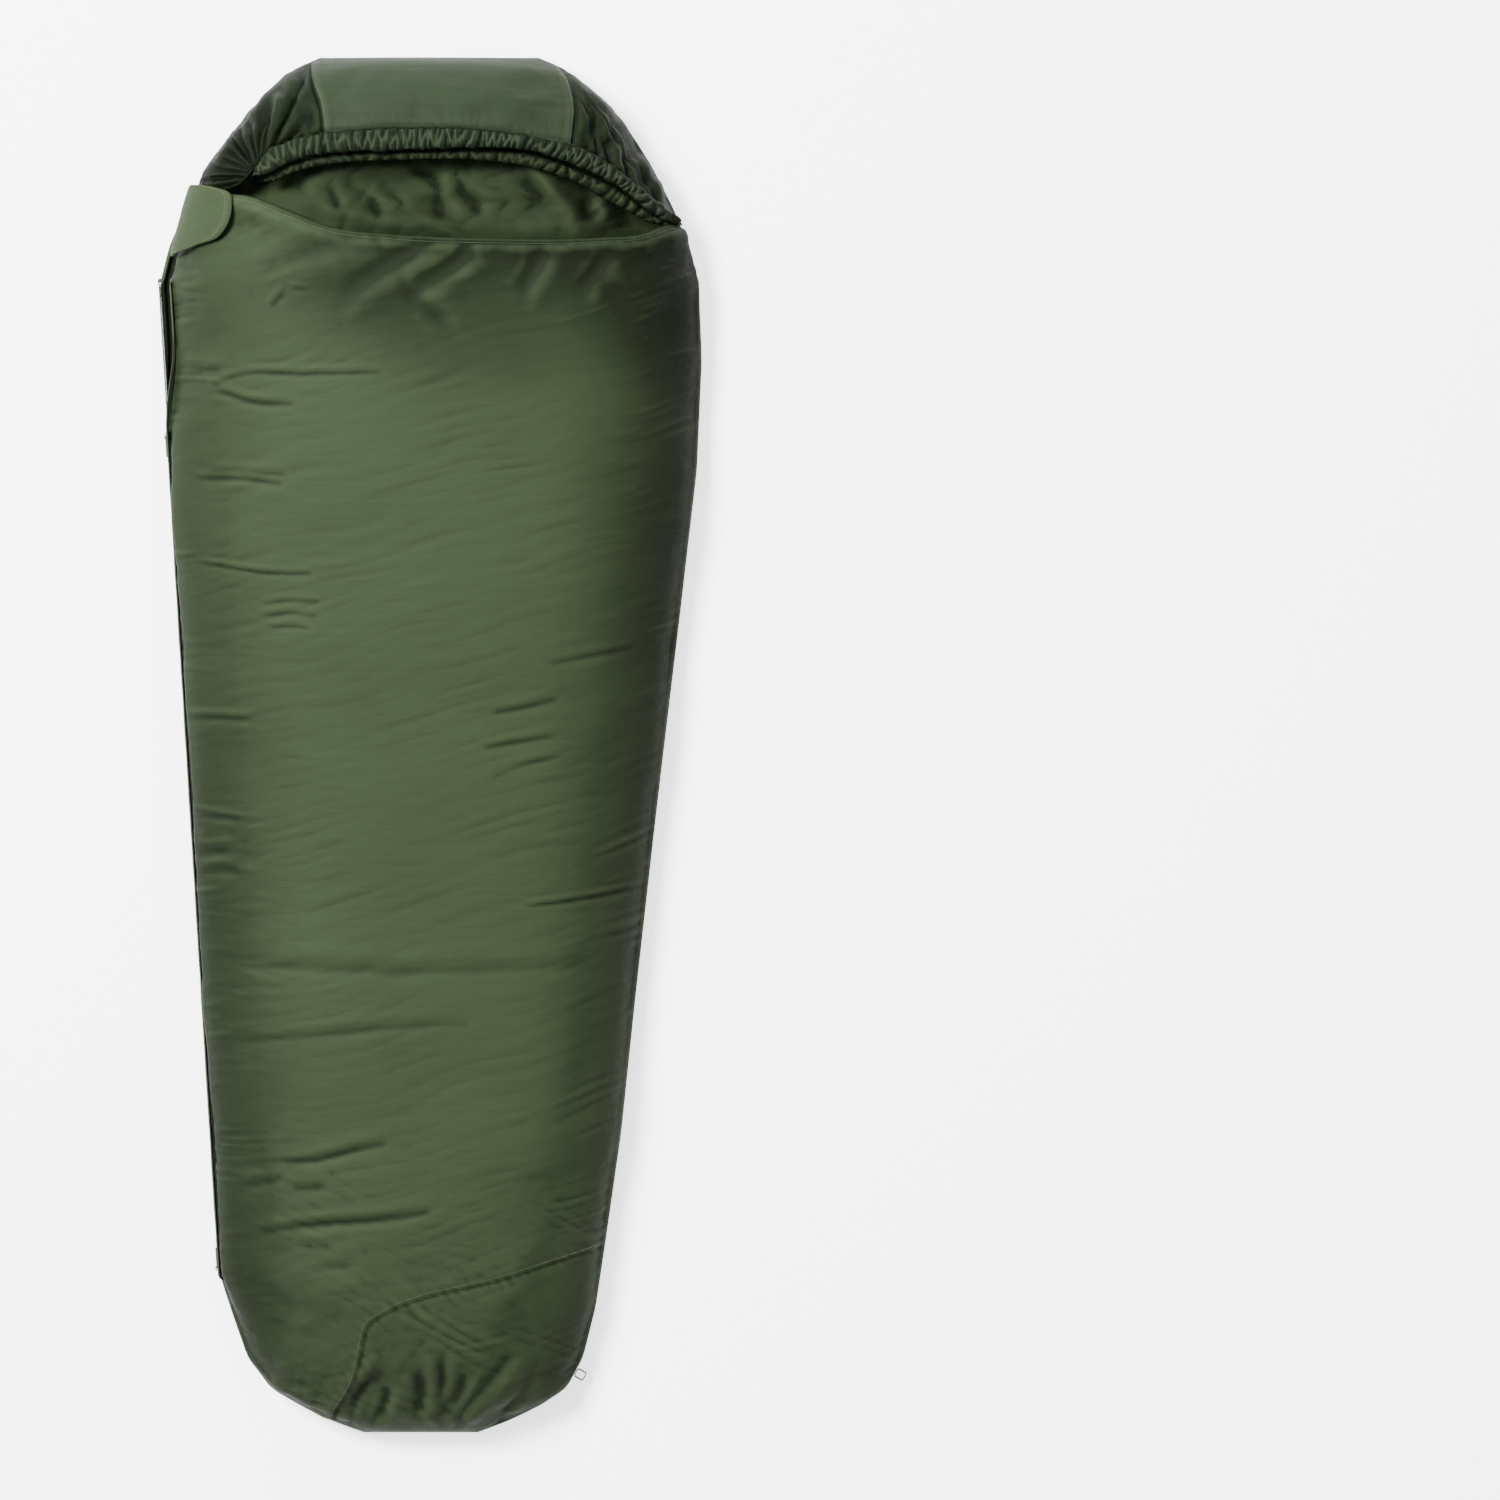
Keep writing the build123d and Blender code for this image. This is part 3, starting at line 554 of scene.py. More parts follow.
class Field:
    """A node socket that can be used in sums."""

    tree = None

    def __init__(self, socket):
        self.socket = socket

    @classmethod
    def node(cls, kind, settings=None, values=None, output=0):
        """Makes a node: its settings, then its input values or links, and gives one of its outputs."""
        made = cls.tree.nodes.new(kind)
        for key, value in (settings or {}).items():
            setattr(made, key, value)
        for key, value in (values or {}).items():
            if isinstance(value, Field):
                cls.tree.links.new(value.socket, made.inputs[key])
            else:
                made.inputs[key].default_value = value
        return cls(made.outputs[output])

    def maths(self, operation, other=None, swap=False):
        values = {0: other, 1: self} if swap else {0: self}
        if other is not None and not swap:
            values[1] = other
        return Field.node("ShaderNodeMath", {"operation": operation}, values)

    def __add__(self, other):
        return self.maths("ADD", other)

    def __sub__(self, other):
        return self.maths("SUBTRACT", other)

    def __mul__(self, other):
        return self.maths("MULTIPLY", other)

    def __truediv__(self, other):
        return self.maths("DIVIDE", other)

    def __pow__(self, other):
        return self.maths("POWER", other)

    __radd__ = __add__
    __rmul__ = __mul__

    def __rsub__(self, other):
        return self.maths("SUBTRACT", other, swap=True)

    def __rtruediv__(self, other):
        return self.maths("DIVIDE", other, swap=True)

    def clamped(self, low, high):
        return self.maths("MAXIMUM", low).maths("MINIMUM", high)

    def stretched(self, x, y, z):
        """This vector with each part multiplied."""
        return Field.node("ShaderNodeVectorMath", {"operation": "MULTIPLY"}, {0: self, 1: (x, y, z)})

    def noise(self, scale, detail=2.0, roughness=0.5):
        return Field.node("ShaderNodeTexNoise", {}, {"Vector": self, "Scale": scale, "Detail": detail,
                                                      "Roughness": roughness})

    def mixed(self, first, second):
        """A colour between two, by this share."""
        return Field.node("ShaderNodeMix", {"data_type": "RGBA"}, {0: self, 6: first, 7: second}, output=2)


def finish_of(name, roughness, constants=None):
    """A new material: its shader node, ready for links."""
    made = bpy.data.materials.new(name)
    made.use_nodes = True
    Field.tree = made.node_tree
    shader = made.node_tree.nodes["Principled BSDF"]
    shader.inputs["Roughness"].default_value = roughness
    for key, value in (constants or {}).items():
        shader.inputs[key].default_value = value
    return made, shader


def joined(shader, key, field):
    Field.tree.links.new(field.socket, shader.inputs[key])


def taffeta(name, color, streak=1.0, roughness=0.58):
    """Thin woven nylon: mottled colour, painted shade from its painted-shade attribute and in creases, a
    painted highlight on crests, fine slack ripples and a plain weave.
    """
    colors = bpy.context.scene.bag_colors
    made, shader = finish_of(name, roughness, {"Specular IOR Level": 0.02})
    place = Field.node("ShaderNodeTexCoord", output=3)
    cloth = Field.node("ShaderNodeUVMap", {"uv_map": "cloth"})
    deep = Field.node("ShaderNodeAttribute", {"attribute_name": "crease"}, output=2)
    base = tuple(color) + (1.0,)
    light = tuple(min(c * colors.mottle, 1.0) for c in color) + (1.0,)
    shade = tuple(c * colors.crease_shade for c in color) + (1.0,)
    mottle = (place.noise(3.2, 3.0) * 1.6 - 0.3).clamped(0.0, 1.0)
    fine = place.stretched(7.0, 60.0, 60.0).noise(1.0, 4.0, 0.6)
    # Painted shade: where the painted-shade attribute is set, the colour goes towards this darker copy.
    dark = tuple(c * colors.painted_shade_brightness for c in color) + (1.0,)
    painted_shade = Field.node("ShaderNodeAttribute", {"attribute_name": "painted_shade_tone"}, output=2)
    painted_shade_tone = painted_shade.clamped(0.0, 1.0).mixed(mottle.mixed(base, light), dark)
    # Painted shade: creases are darkened towards the crease colour, mixed with random fine streaks.
    painted_shade_tone = (deep * 0.9 + (fine - 0.5) * 0.25).clamped(0.0, 1.0).mixed(painted_shade_tone, shade)
    # Painted highlight: crests are lightened towards this paler copy of the colour.
    crest = tuple(min(c * colors.crest, 1.0) for c in color) + (1.0,)
    painted_shade_tone = (deep * -0.45 - 0.06).clamped(0.0, 0.4).mixed(painted_shade_tone, crest)
    joined(shader, "Base Color", painted_shade_tone)
    joined(shader, "Roughness", (fine * 0.14 + (roughness - 0.07)).clamped(0.05, 1.0))
    ripples = place.stretched(9.0, 75.0, 75.0).noise(1.0, 3.0, 0.55) * (0.0011 * streak)
    slack = place.noise(38.0, 2.0) * (0.0007 * streak)
    apart = Field.node("ShaderNodeSeparateXYZ", {}, {0: cloth})
    across = Field(apart.socket.node.outputs[0]) * (math.tau / 0.0014)
    along = Field(apart.socket.node.outputs[1]) * (math.tau / 0.0014)
    weave = across.maths("SINE") * along.maths("SINE") * 0.00004
    height = ripples + slack + weave
    bump = Field.node("ShaderNodeBump", {}, {"Strength": 1.0, "Distance": 1.0, "Height": height})
    joined(shader, "Normal", bump)
    return made


def woven(name, color, pitch=0.0012, depth=0.00012, roughness=0.7):
    """Tape or webbing: a coarse weave."""
    made, shader = finish_of(name, roughness)
    place = Field.node("ShaderNodeTexCoord", output=3)
    apart = Field.node("ShaderNodeSeparateXYZ", {}, {0: place})
    parts = [Field(apart.socket.node.outputs[k]) * (math.tau / pitch) for k in range(3)]
    weave = parts[0].maths("SINE") * parts[1].maths("SINE") + parts[2].maths("SINE") * 0.5
    worn = place.noise(60.0, 3.0)
    base = tuple(color) + (1.0,)
    dark = tuple(c * 0.6 for c in color) + (1.0,)
    joined(shader, "Base Color", (worn + weave * 0.2).clamped(0.0, 1.0).mixed(base, dark))
    joined(shader, "Normal", Field.node("ShaderNodeBump", {}, {"Strength": 1.0, "Distance": 1.0,
                                                                "Height": weave * depth}))
    return made


def pile(name, color):
    """Hook and loop tape: a dense stubble."""
    made, shader = finish_of(name, 0.85)
    place = Field.node("ShaderNodeTexCoord", output=3)
    hairs = place.noise(1400.0, 2.0, 0.7)
    base, dark = tuple(color) + (1.0,), tuple(c * 0.35 for c in color) + (1.0,)
    joined(shader, "Base Color", hairs.mixed(dark, base))
    joined(shader, "Normal", Field.node("ShaderNodeBump", {}, {"Strength": 1.0, "Distance": 1.0,
                                                                "Height": hairs * 0.0009}))
    return made


def hard(name, color, metallic, roughness, wear=0.15):
    """Painted metal or moulded nylon, with light wear."""
    made, shader = finish_of(name, roughness, {"Metallic": metallic})
    place = Field.node("ShaderNodeTexCoord", output=3)
    scuffs = place.noise(220.0, 4.0, 0.6)
    base = tuple(color) + (1.0,)
    worn = tuple(min(1.0, c * 1.6 + 0.01) for c in color) + (1.0,)
    joined(shader, "Base Color", ((scuffs - 0.5) * wear * 6).clamped(0.0, 1.0).mixed(base, worn))
    joined(shader, "Roughness", (scuffs * 0.25 + (roughness - 0.12)).clamped(0.05, 1.0))
    joined(shader, "Normal", Field.node("ShaderNodeBump", {}, {"Strength": 1.0, "Distance": 1.0,
                                                                "Height": scuffs * 0.00008}))
    return made


def paper(name, color):
    """The floor: even and pale, with a faint tooth."""
    made, shader = finish_of(name, 0.9)
    place = Field.node("ShaderNodeTexCoord", output=3)
    tooth = place.noise(900.0, 2.0)
    base, dark = tuple(color) + (1.0,), tuple(c * 0.985 for c in color) + (1.0,)
    joined(shader, "Base Color", tooth.mixed(base, dark))
    shader.inputs["Emission Color"].default_value = base
    shader.inputs["Emission Strength"].default_value = bpy.context.scene.bag_lights.floor
    return made


# ---------------------------------------------------------------- the pieces


FINISHES = {}


def finish(name):
    """A finish by name, made when it is first used."""
    if name not in FINISHES:
        colors = bpy.context.scene.bag_colors
        makers = {
            "shell": lambda: taffeta("shell_taffeta", colors.shell),
            "hood": lambda: taffeta("hood_taffeta", colors.hood, streak=0.8),
            "hood_side": lambda: taffeta("hood_side_taffeta", colors.hood_side, streak=1.3),
            "lining": lambda: taffeta("lining_taffeta", colors.lining, streak=1.0, roughness=0.66),
            "piping": lambda: taffeta("piping_taffeta", colors.piping, streak=0.5),
            "thread": lambda: woven("thread", colors.thread, pitch=0.0008, depth=0.00005),
            "tape": lambda: woven("zip_tape_weave", colors.tape),
            "webbing": lambda: woven("webbing_weave", colors.tape, pitch=0.0022, depth=0.0003),
            "coil": lambda: hard("zip_coil_nylon", colors.coil, 0.0, 0.38),
            "metal": lambda: hard("zip_metal_lacquer", colors.metal, 0.85, 0.36),
            "pile": lambda: pile("hook_and_loop_pile", colors.tape),
        }
        FINISHES[name] = makers[name]()
    return FINISHES[name]


def put(piece, body, slot, *replaced):
    """Says what a piece rides on and what CAD nodes it replaces. Its slot argument, one of the record's
    materials, is not used.
    """
    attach(piece, body)
    if replaced:
        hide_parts(*replaced)
    return piece


def inner_layer(points, thickness, taper=0.05):
    """Half a grid's rows and columns, moved inwards by a thickness that shrinks to a seam at each edge."""
    coarse = points[::2, ::2]
    gap = np.minimum.reduce(from_edges(coarse))
    share = np.clip(gap / taper, 0.0, 1.0)
    depth = 0.0018 + (thickness - 0.0018) * np.sqrt(1 - (1 - share) ** 2)
    chord = np.linalg.norm(coarse[:, -1:, :2] - coarse[:, :1, :2], axis=2, keepdims=True)
    across = np.clip(chord / 2, 0.002, 1)
    smooth = coarse.copy()
    for _ in range(6):
        smooth[1:-1, 1:-1] = (smooth[:-2, 1:-1] + smooth[2:, 1:-1] + smooth[1:-1, :-2] + smooth[1:-1, 2:]) / 4
    depth = np.minimum(depth[..., None], 0.5 * across + 0.001)
    depth = np.minimum(depth, 0.6 * (coarse[..., 2:] - ARCH_FLOOR) + 0.0018)
    moved = np.where(share[..., None] > 0, smooth, coarse) - normals(smooth) * depth
    moved[..., 2] = np.maximum(moved[..., 2], ARCH_FLOOR)
    return moved


def front_relief(points):
    """How far each point of the front quilt's outside stands out, in metres."""
    sizes = bpy.context.scene.bag_sizes
    x, y = points[..., 0], points[..., 1]
    left, right, hem, _ = from_edges(points)
    toe = y + HALF_LENGTH
    run = (left - right) / 2
    bend = noise(run / 0.21, y / 0.17, 3) * 0.5
    patch = ease(noise(run / 0.15, y / 0.10, 21), -0.35, 0.55)
    side = 0.0036 * np.exp(-left / 0.11) * (0.2 + 0.8 * patch)
    side *= folds(run / 0.13 + bend, y / 0.0175 + bend, 5)
    slant = y - 0.30 * run
    far_side = 0.0030 * np.exp(-right / 0.15) * (0.2 + 0.8 * patch)
    side += far_side * folds(run / 0.16 + bend, slant / 0.019 + bend, 6)
    lumps = 0.0050 * noise(x / 0.31, y / 0.24, 7) + 0.0016 * noise(x / 0.15, y / 0.10, 8)
    rippled = ease(noise(x / 0.2, y / 0.16, 10), -0.3, 0.5)
    ripples = 0.00050 * noise(run / 0.13 + bend, slant / 0.0105 + bend * 2, 9) * rippled
    ripples += 0.00060 * noise(run / 0.17, slant / 0.021 + bend * 2, 19)
    foot = ease(-y, 0.50, 0.95)
    low = 0.0020 * foot * (0.35 + 0.65 * patch)
    low *= folds(run / 0.14 + bend, (y + 0.35 * run) / 0.030 + bend, 11)
    lean = x - 0.60 * toe * ease(x, -0.40, 0.05)
    gathers = 0.0048 * np.exp(-toe / 0.085) * folds(lean / 0.034, toe / 0.45, 12)
    gathers += 0.0009 * np.exp(-toe / 0.035) * folds(lean / 0.014, toe / 0.10, 17)
    edge = 0.0016 * np.exp(-np.minimum(left, right) / 0.016) * noise(y / 0.013, x * 0, 13)
    hem_pucker = 0.0011 * np.exp(-hem / 0.022) * noise(x / 0.017, y / 0.2, 14)
    folds_at_hem = 0.0013 * np.exp(-hem / 0.09) * folds((x + 0.4 * y) / 0.052, y / 0.16, 15)
    seam, _ = beside_line(x, y, fine_line(scaled(TOE_SEAM), 40))
    lap = 0.0016 * ease(-seam, -0.002, 0.002) * ease(seam, -0.06, -0.01)
    lap -= 0.0016 * np.exp(-((seam / 0.0030) ** 2))
    pucker = 0.0013 * np.exp(-np.abs(seam) / 0.020) * noise((x + y) / 0.014, (x - y) / 0.05, 16)
    stitched = -0.0011 * np.exp(-(((hem - sizes.hem) / 0.0022) ** 2)) * ease(x, -0.05, 0.15)
    drop = -0.013 * (1 - np.sqrt(1 - (1 - np.clip(hem / 0.022, 0, 1)) ** 2))
    drop += 0.004 * np.exp(-(((hem - 0.02) / 0.012) ** 2))
    shut = 1 - ease(y, SLIDER_TOP_Y - 0.05, SLIDER_TOP_Y + 0.05)
    over_zip = 0.0120 * shut * ease(left, 0.008, 0.040)
    over_zip *= (1 - ease(left, 0.055, 0.15)) * ease(toe, 0.16, 0.30)
    relief = over_zip + side + lumps + ripples + low + gathers + edge + folds_at_hem
    relief += lap + pucker + creases(x, y, CREASES)
    free = ease(np.minimum.reduce([left, right, toe]), 0.0, 0.020) * ease(hem, 0.0, 0.012)
    return sizes.crease * relief * free + hem_pucker + stitched + drop


def hood_relief(points):
    """How far each point of the hood's outside stands out, in metres."""
    sizes = bpy.context.scene.bag_sizes
    x, y = points[..., 0], points[..., 1]
    left, right, seam, _ = from_edges(points)
    crown = HALF_LENGTH - y
    left_gap, _ = beside_line(x, y, fine_line(scaled(HOOD_SEAMS["left"]), 20))
    right_gap, _ = beside_line(x, y, fine_line(scaled(HOOD_SEAMS["right"]), 20))
    in_left = ease(np.sign(np.mean(left_gap[:, 0])) * left_gap, -0.01, 0.02)
    in_right = ease(np.sign(np.mean(right_gap[:, -1])) * right_gap, -0.01, 0.02)
    sides = np.maximum(in_left, in_right)
    turn = np.arctan2(y - 0.905 * LONG, x + 0.268 * WIDE)
    away = np.hypot(x + 0.268 * WIDE, y - 0.905 * LONG)
    radial = 0.0150 * in_left * folds(turn / 0.27, away / 0.19, 31)
    radial *= ease(away, 0.0, 0.05) * ease(left, 0.0, 0.12)
    radial += 0.0030 * in_left * folds(turn / 0.12 + 5, away / 0.07, 32) * np.exp(-away / 0.10)
    _, place = beside_line(x, y, fine_line(scaled(SEAM_LINE), 60))
    run = place * 1.05
    radial += 0.0130 * in_right * folds((run + 0.5 * seam) / 0.036, seam / 0.14, 33) * np.exp(-seam / 0.18)
    radial += 0.0030 * in_right * folds(x / 0.045, y / 0.050, 36)
    puckers = 0.0030 * folds(run / 0.0115, seam / 0.030, 34) * np.exp(-seam / 0.014) * (0.45 + 0.55 * sides)
    puckers += 0.0013 * folds(run / 0.026, seam / 0.06, 35) * np.exp(-seam / 0.028) * (0.5 + sides)
    lumps = 0.0030 * noise(x / 0.19, y / 0.11, 37) + 0.0016 * sides * noise(x / 0.05, y / 0.05, 38)
    ripple = 0.0006 * noise(x / 0.10, y / 0.012, 39) * (1 - sides)
    crown_gather = 0.0010 * np.exp(-crown / 0.030) * noise(x / 0.020, y / 0.08, 40)
    sewn = 0.0
    for gap in (left_gap, right_gap):
        sewn = sewn - 0.0032 * np.exp(-((gap / 0.0030) ** 2))
        sewn = sewn + 0.0014 * np.exp(-(((np.abs(gap) - 0.010) / 0.006) ** 2))
    roll = -0.010 * (1 - np.sqrt(1 - (1 - np.clip(seam / 0.016, 0, 1)) ** 2))
    relief = radial + puckers + lumps + ripple + crown_gather + sewn + creases(x, y, HOOD_CREASES)
    free = ease(np.minimum.reduce([left, right, crown]), 0.0, 0.018) * ease(seam, 0.0, 0.006)
    return sizes.crease * relief * free + roll


def painted_shade_of(points):
    """How much painted shade darkens the front's colour at each point: uneven, and deepest at the hem and the
    right side, with some at the left side and the foot.
    """
    x, y = points[..., 0] / WIDE, points[..., 1] / LONG
    wander = 0.05 * noise(x / 0.20, y / 0.16, 25)
    hem = ease(y + 0.12 * x + wander, 0.50, 0.82) * ease(x - 0.9 * (y - 0.80) + wander, -0.36, 0.04)
    right = ease(x / (0.40 + 0.07 * y) + wander, 0.40, 1.05) * (0.45 + 0.55 * ease(y, -0.95, 0.15))
    left = ease(-x / (0.39 + 0.06 * y), 0.45, 1.0) * (0.38 + 0.26 * ease(-y, -0.35, 0.30))
    foot = 0.22 * ease(-y, 0.62, 1.0)
    return np.clip(1 - (1 - 0.86 * hem) * (1 - 0.80 * right) * (1 - left) * (1 - foot), 0, 1)


def make_front():
    sizes = bpy.context.scene.bag_sizes
    angles = np.linspace(0, math.pi, 141)
    rows = np.linspace(0, 1, 271)
    rows = rows + 0.035 * np.sin(math.tau * rows) * -0.6
    points = form.arch_grid(angles, scaled(HEM_LINE), -HALF_LENGTH, rows)
    held = np.zeros(points.shape[:2])
    held[:, :2] = held[:, -2:] = held[:2] = held[-2:] = 1
    points = finer(settle(points, held, sizes.slack, sizes.fill_pressure, sizes.settle_limit))
    outer = points + normals(points) * front_relief(points)[..., None]
    outer[..., 2] = np.maximum(outer[..., 2], ARCH_FLOOR)
    # The front quilt's outside carries painted shade, deepest at the hem and the right side.
    piece = quilt("front_quilt", outer, inner_layer(outer, sizes.front_fill), finish("shell"),
                  finish("lining"), painted_shade_of(outer))
    put(piece, "bag", "shell_fabric", "front_shell", "toe_panel", "front_insulation", "front_lining",
        "chest_hem_binding")
    return piece


def make_hood():
    sizes = bpy.context.scene.bag_sizes
    angles = np.linspace(0, math.pi, 181)
    points = form.arch_grid(angles, scaled(SEAM_LINE), HALF_LENGTH, np.linspace(0, 1, 61))
    held = np.zeros(points.shape[:2])
    held[:, :2] = held[:, -2:] = held[:1] = held[-1:] = 1
    for line in HOOD_SEAMS.values():
        gap, _ = beside_line(points[..., 0], points[..., 1], fine_line(scaled(line), 20))
        held[np.abs(gap) < 0.0035] = 1
    points = finer(settle(points, held, sizes.hood_slack, sizes.fill_pressure, sizes.settle_limit))
    points = finer(points)
    outer = points + normals(points) * hood_relief(points)[..., None]
    outer[..., 2] = np.maximum(outer[..., 2], ARCH_FLOOR)
    # Painted shade: the hood darkens towards its far left and, less, its far right.
    far_left = ease(-outer[..., 0] / WIDE, 0.17, 0.33) * 0.75
    far_right = ease(outer[..., 0] / WIDE, 0.22, 0.42) * 0.45
    piece = quilt("hood_quilt", outer, inner_layer(outer, sizes.hood_fill, 0.04), finish("hood"),
                  finish("lining"), far_left + far_right)
    piece.data.materials.append(finish("hood_side"))
    rows, columns = outer.shape[:2]
    middle = (outer[:-1, :-1] + outer[1:, 1:]) / 2
    which = np.zeros(len(piece.data.polygons), np.int32)
    piece.data.polygons.foreach_get("material_index", which)
    left_line = through(middle[..., 1], sorted((y, x) for x, y in scaled(HOOD_SEAMS["left"])))
    right_line = through(middle[..., 1], sorted((y, x) for x, y in scaled(HOOD_SEAMS["right"])))
    beside = (middle[..., 0] < left_line) | (middle[..., 0] > right_line)
    which[:(rows - 1) * (columns - 1)][beside.ravel()] = 2
    piece.data.polygons.foreach_set("material_index", which)
    put(piece, "bag", "hood_fabric", "hood_left_panel", "hood_center_panel", "hood_right_panel",
        "hood_insulation", "hood_lining")
    return piece


def make_back():
    sizes = bpy.context.scene.bag_sizes
    share = np.linspace(0, 1, 101)
    density = 1 + 2.2 * ease(share, 0.86, 0.885) * (1 - ease(share, 0.965, 0.985))
    density += 2.5 * (np.exp(-share / 0.006) + np.exp(-(1 - share) / 0.006))
    travelled = np.concatenate([[0], np.cumsum((density[1:] + density[:-1]) / 2)])
    rows = np.interp(np.linspace(0, travelled[-1], 191), travelled, share)
    y = (-HALF_LENGTH + 2 * HALF_LENGTH * rows)[:, None]
    across = np.linspace(0, 1, 111)
    across = across - 0.115 * np.sin(math.tau * across)
    coarse_y = np.broadcast_to(y, (len(rows), len(across)))
    x = form.left(y) + (form.right(y) - form.left(y)) * across[None, :]
    plan = finer(np.stack([x, coarse_y, np.zeros(x.shape)], axis=-1))
    x, y = plan[..., 0], plan[..., 1]
    ends = np.linspace(-HALF_LENGTH, HALF_LENGTH, 90)
    outline = np.concatenate([np.stack([form.left(ends), ends], 1),
                              np.stack([form.right(ends), ends], 1)[::-1]])
    gap = np.abs(beside_line(x, y, np.concatenate([outline, outline[:1]]))[0])
    gap[0], gap[-1], gap[:, 0], gap[:, -1] = 0, 0, 0, 0
    round_off = np.sqrt(1 - (1 - np.clip(gap / 0.020, 0, 1)) ** 2)
    middle = BACK_TOP / 2
    top = middle + (middle - 0.001) * round_off
    inside = ease(gap, 0.030, 0.075)
    opening = ease(y, 0.70 * LONG, 0.83 * LONG) * (1 - ease(y, 0.985 * LONG, 1.06 * LONG))
    puff = sizes.lining_puff * opening * ease(gap, 0.025, 0.17)
    bend = noise(x / 0.12, y / 0.11, 51)
    loose = 0.0060 * noise(x / 0.110 + bend, y / 0.080 + bend, 52)
    loose += 0.0038 * folds((x + y) / 0.095 + bend, (y - 0.6 * x) / 0.055 + bend, 53)
    loose += 1.4 * creases(x, y, LINING_CREASES)
    body = 0.0035 * noise(x / 0.14, y / 0.10, 55) + 0.0018 * folds(x / 0.12, y / 0.03, 56)
    top = top + puff + inside * (opening * loose + (1 - opening) * body) * ease(gap, 0.0, 0.06)
    parted = form.front_left(y) - form.left(y)
    beside = (x - form.left(y)) / np.maximum(parted, 0.001)
    trough = ease(parted, 0.003, 0.012) * ease(beside, 0.25, 0.60)
    trough *= 1 - ease(x - form.left(y), 0.035, 0.060)
    top = top - 0.014 * trough
    rim = 0.0012 * noise(y / 0.014, x / 0.3, 57) * round_off * (1 - inside)
    outer = np.stack([x, y, top + rim], axis=-1)
    low = plan[::2, ::2].copy()
    under = np.abs(gap[::2, ::2])
    low_round = np.sqrt(1 - (1 - np.clip(under / 0.020, 0, 1)) ** 2)
    wrinkle = 0.0016 * (1 + noise(low[..., 0] / 0.12, low[..., 1] / 0.03, 58)) * ease(under, 0.0, 0.03)
    low[..., 2] = middle - middle * low_round + wrinkle
    # Painted shade: the lining darkens where it lies under the hood and in the trough of the open zip's gap.
    painted_shade_under_hood = 0.55 * ease(y, 0.900 * LONG, 0.935 * LONG)
    piece = quilt("back_quilt", outer, low, finish("lining"), finish("shell"),
                  np.maximum(trough, painted_shade_under_hood * inside))
    which = np.zeros(len(piece.data.polygons), np.int32)
    piece.data.polygons.foreach_get("material_index", which)
    rows, columns = outer.shape[:2]
    rim_face = (gap[:-1, :-1] + gap[1:, 1:]) / 2 < 0.034
    which[:(rows - 1) * (columns - 1)][rim_face.ravel()] = 1
    which[(rows - 1) * (columns - 1):] = 1
    piece.data.polygons.foreach_set("material_index", which)
    put(piece, "bag", "shell_fabric", "back_shell", "back_insulation", "back_lining")
    return piece


def gathered(name, line, other, finish_name, thick, drop, seed, pitch, length_points=760, sides=30):
    """A gathered cloth tube over the arch between two plan lines, with sharp puckers across it."""
    first, second = fine_line(scaled(line), length_points), fine_line(scaled(other), length_points)
    middle = (first + second) / 2
    half = np.linalg.norm(second - first, axis=1) / 2
    travelled = np.concatenate([[0], np.cumsum(np.linalg.norm(np.diff(middle, axis=0), axis=1))])
    height = form.height(middle[:, 0], middle[:, 1]) - drop
    path = np.column_stack([middle, height])
    steady = np.clip(half, 0.35 * thick, None)
    ends = np.clip(np.minimum(travelled, travelled[-1] - travelled) / 0.012, 0.08, 1.0)

    def shape(out, across, turn):
        run = travelled[:, None] / pitch
        ruffle = folds(run + 0.35 * noise(run * 0.3, turn * 0, seed + 4), np.sin(turn)[None, :] * 0.35, seed)
        small = folds(run * 2.3, np.sin(turn)[None, :] * 0.9 + 9, seed + 1)
        swell = 1 + 1.15 * ruffle + 0.30 * small
        wide = (steady * ends * (1 + 0.10 * noise(run[:, 0] * 0.8, run[:, 0] * 0, seed + 2)))[:, None]
        high = (thick * np.sqrt(ends))[:, None]
        return np.cos(turn)[None, :] * high * swell, np.sin(turn)[None, :] * wide * (1 + 0.25 * ruffle)

    return tube(name, path, 1.0, finish(finish_name), sides, shape)


def make_channel():
    sizes = bpy.context.scene.bag_sizes
    upper = [(-0.284, 0.906), (-0.271, 0.921), (-0.254, 0.943), (-0.217, 0.958), (-0.132, 0.971),
             (-0.030, 0.976), (0.080, 0.973), (0.170, 0.962), (0.267, 0.935), (0.328, 0.892),
             (0.372, 0.858), (0.404, 0.836)]
    band = gathered("face_channel_gathers", FREE_LINE, upper, "hood", sizes.channel, 0.004, 61, 0.0150)
    put(band, "bag", "hood_fabric", "face_channel", "face_elastic")
    under = [(-0.262, 0.888), (-0.200, 0.912), (-0.150, 0.921), (-0.050, 0.926), (0.080, 0.926),
             (0.160, 0.916), (0.235, 0.892), (0.300, 0.856), (0.345, 0.834), (0.392, 0.824)]
    upper = [(-0.266, 0.903), (-0.205, 0.927), (-0.156, 0.936), (-0.046, 0.939), (0.080, 0.942),
             (0.158, 0.937), (0.231, 0.914), (0.304, 0.880), (0.355, 0.845), (0.396, 0.830)]
    inner = gathered("face_lining_gathers", under, upper, "lining", 0.0065, 0.027, 71, 0.020, 620, 20)
    put(inner, "bag", "lining_fabric")
    return band


def surface_of(piece):
    mesh = piece.data
    return BVHTree.FromPolygons([tuple(v.co) for v in mesh.vertices],
                                [tuple(p.vertices) for p in mesh.polygons])


def laid_on(surface, line, lift):
    """Plan points set down on a surface from above, with the surface's normals."""
    found = []
    for x, y in line:
        place, normal, _, _ = surface.ray_cast(Vector((x, y, 2)), Vector((0, 0, -1)))
        if place is not None:
            normal = normal if normal.z > 0 else -normal
            found.append((place + normal * lift, normal))
    return found


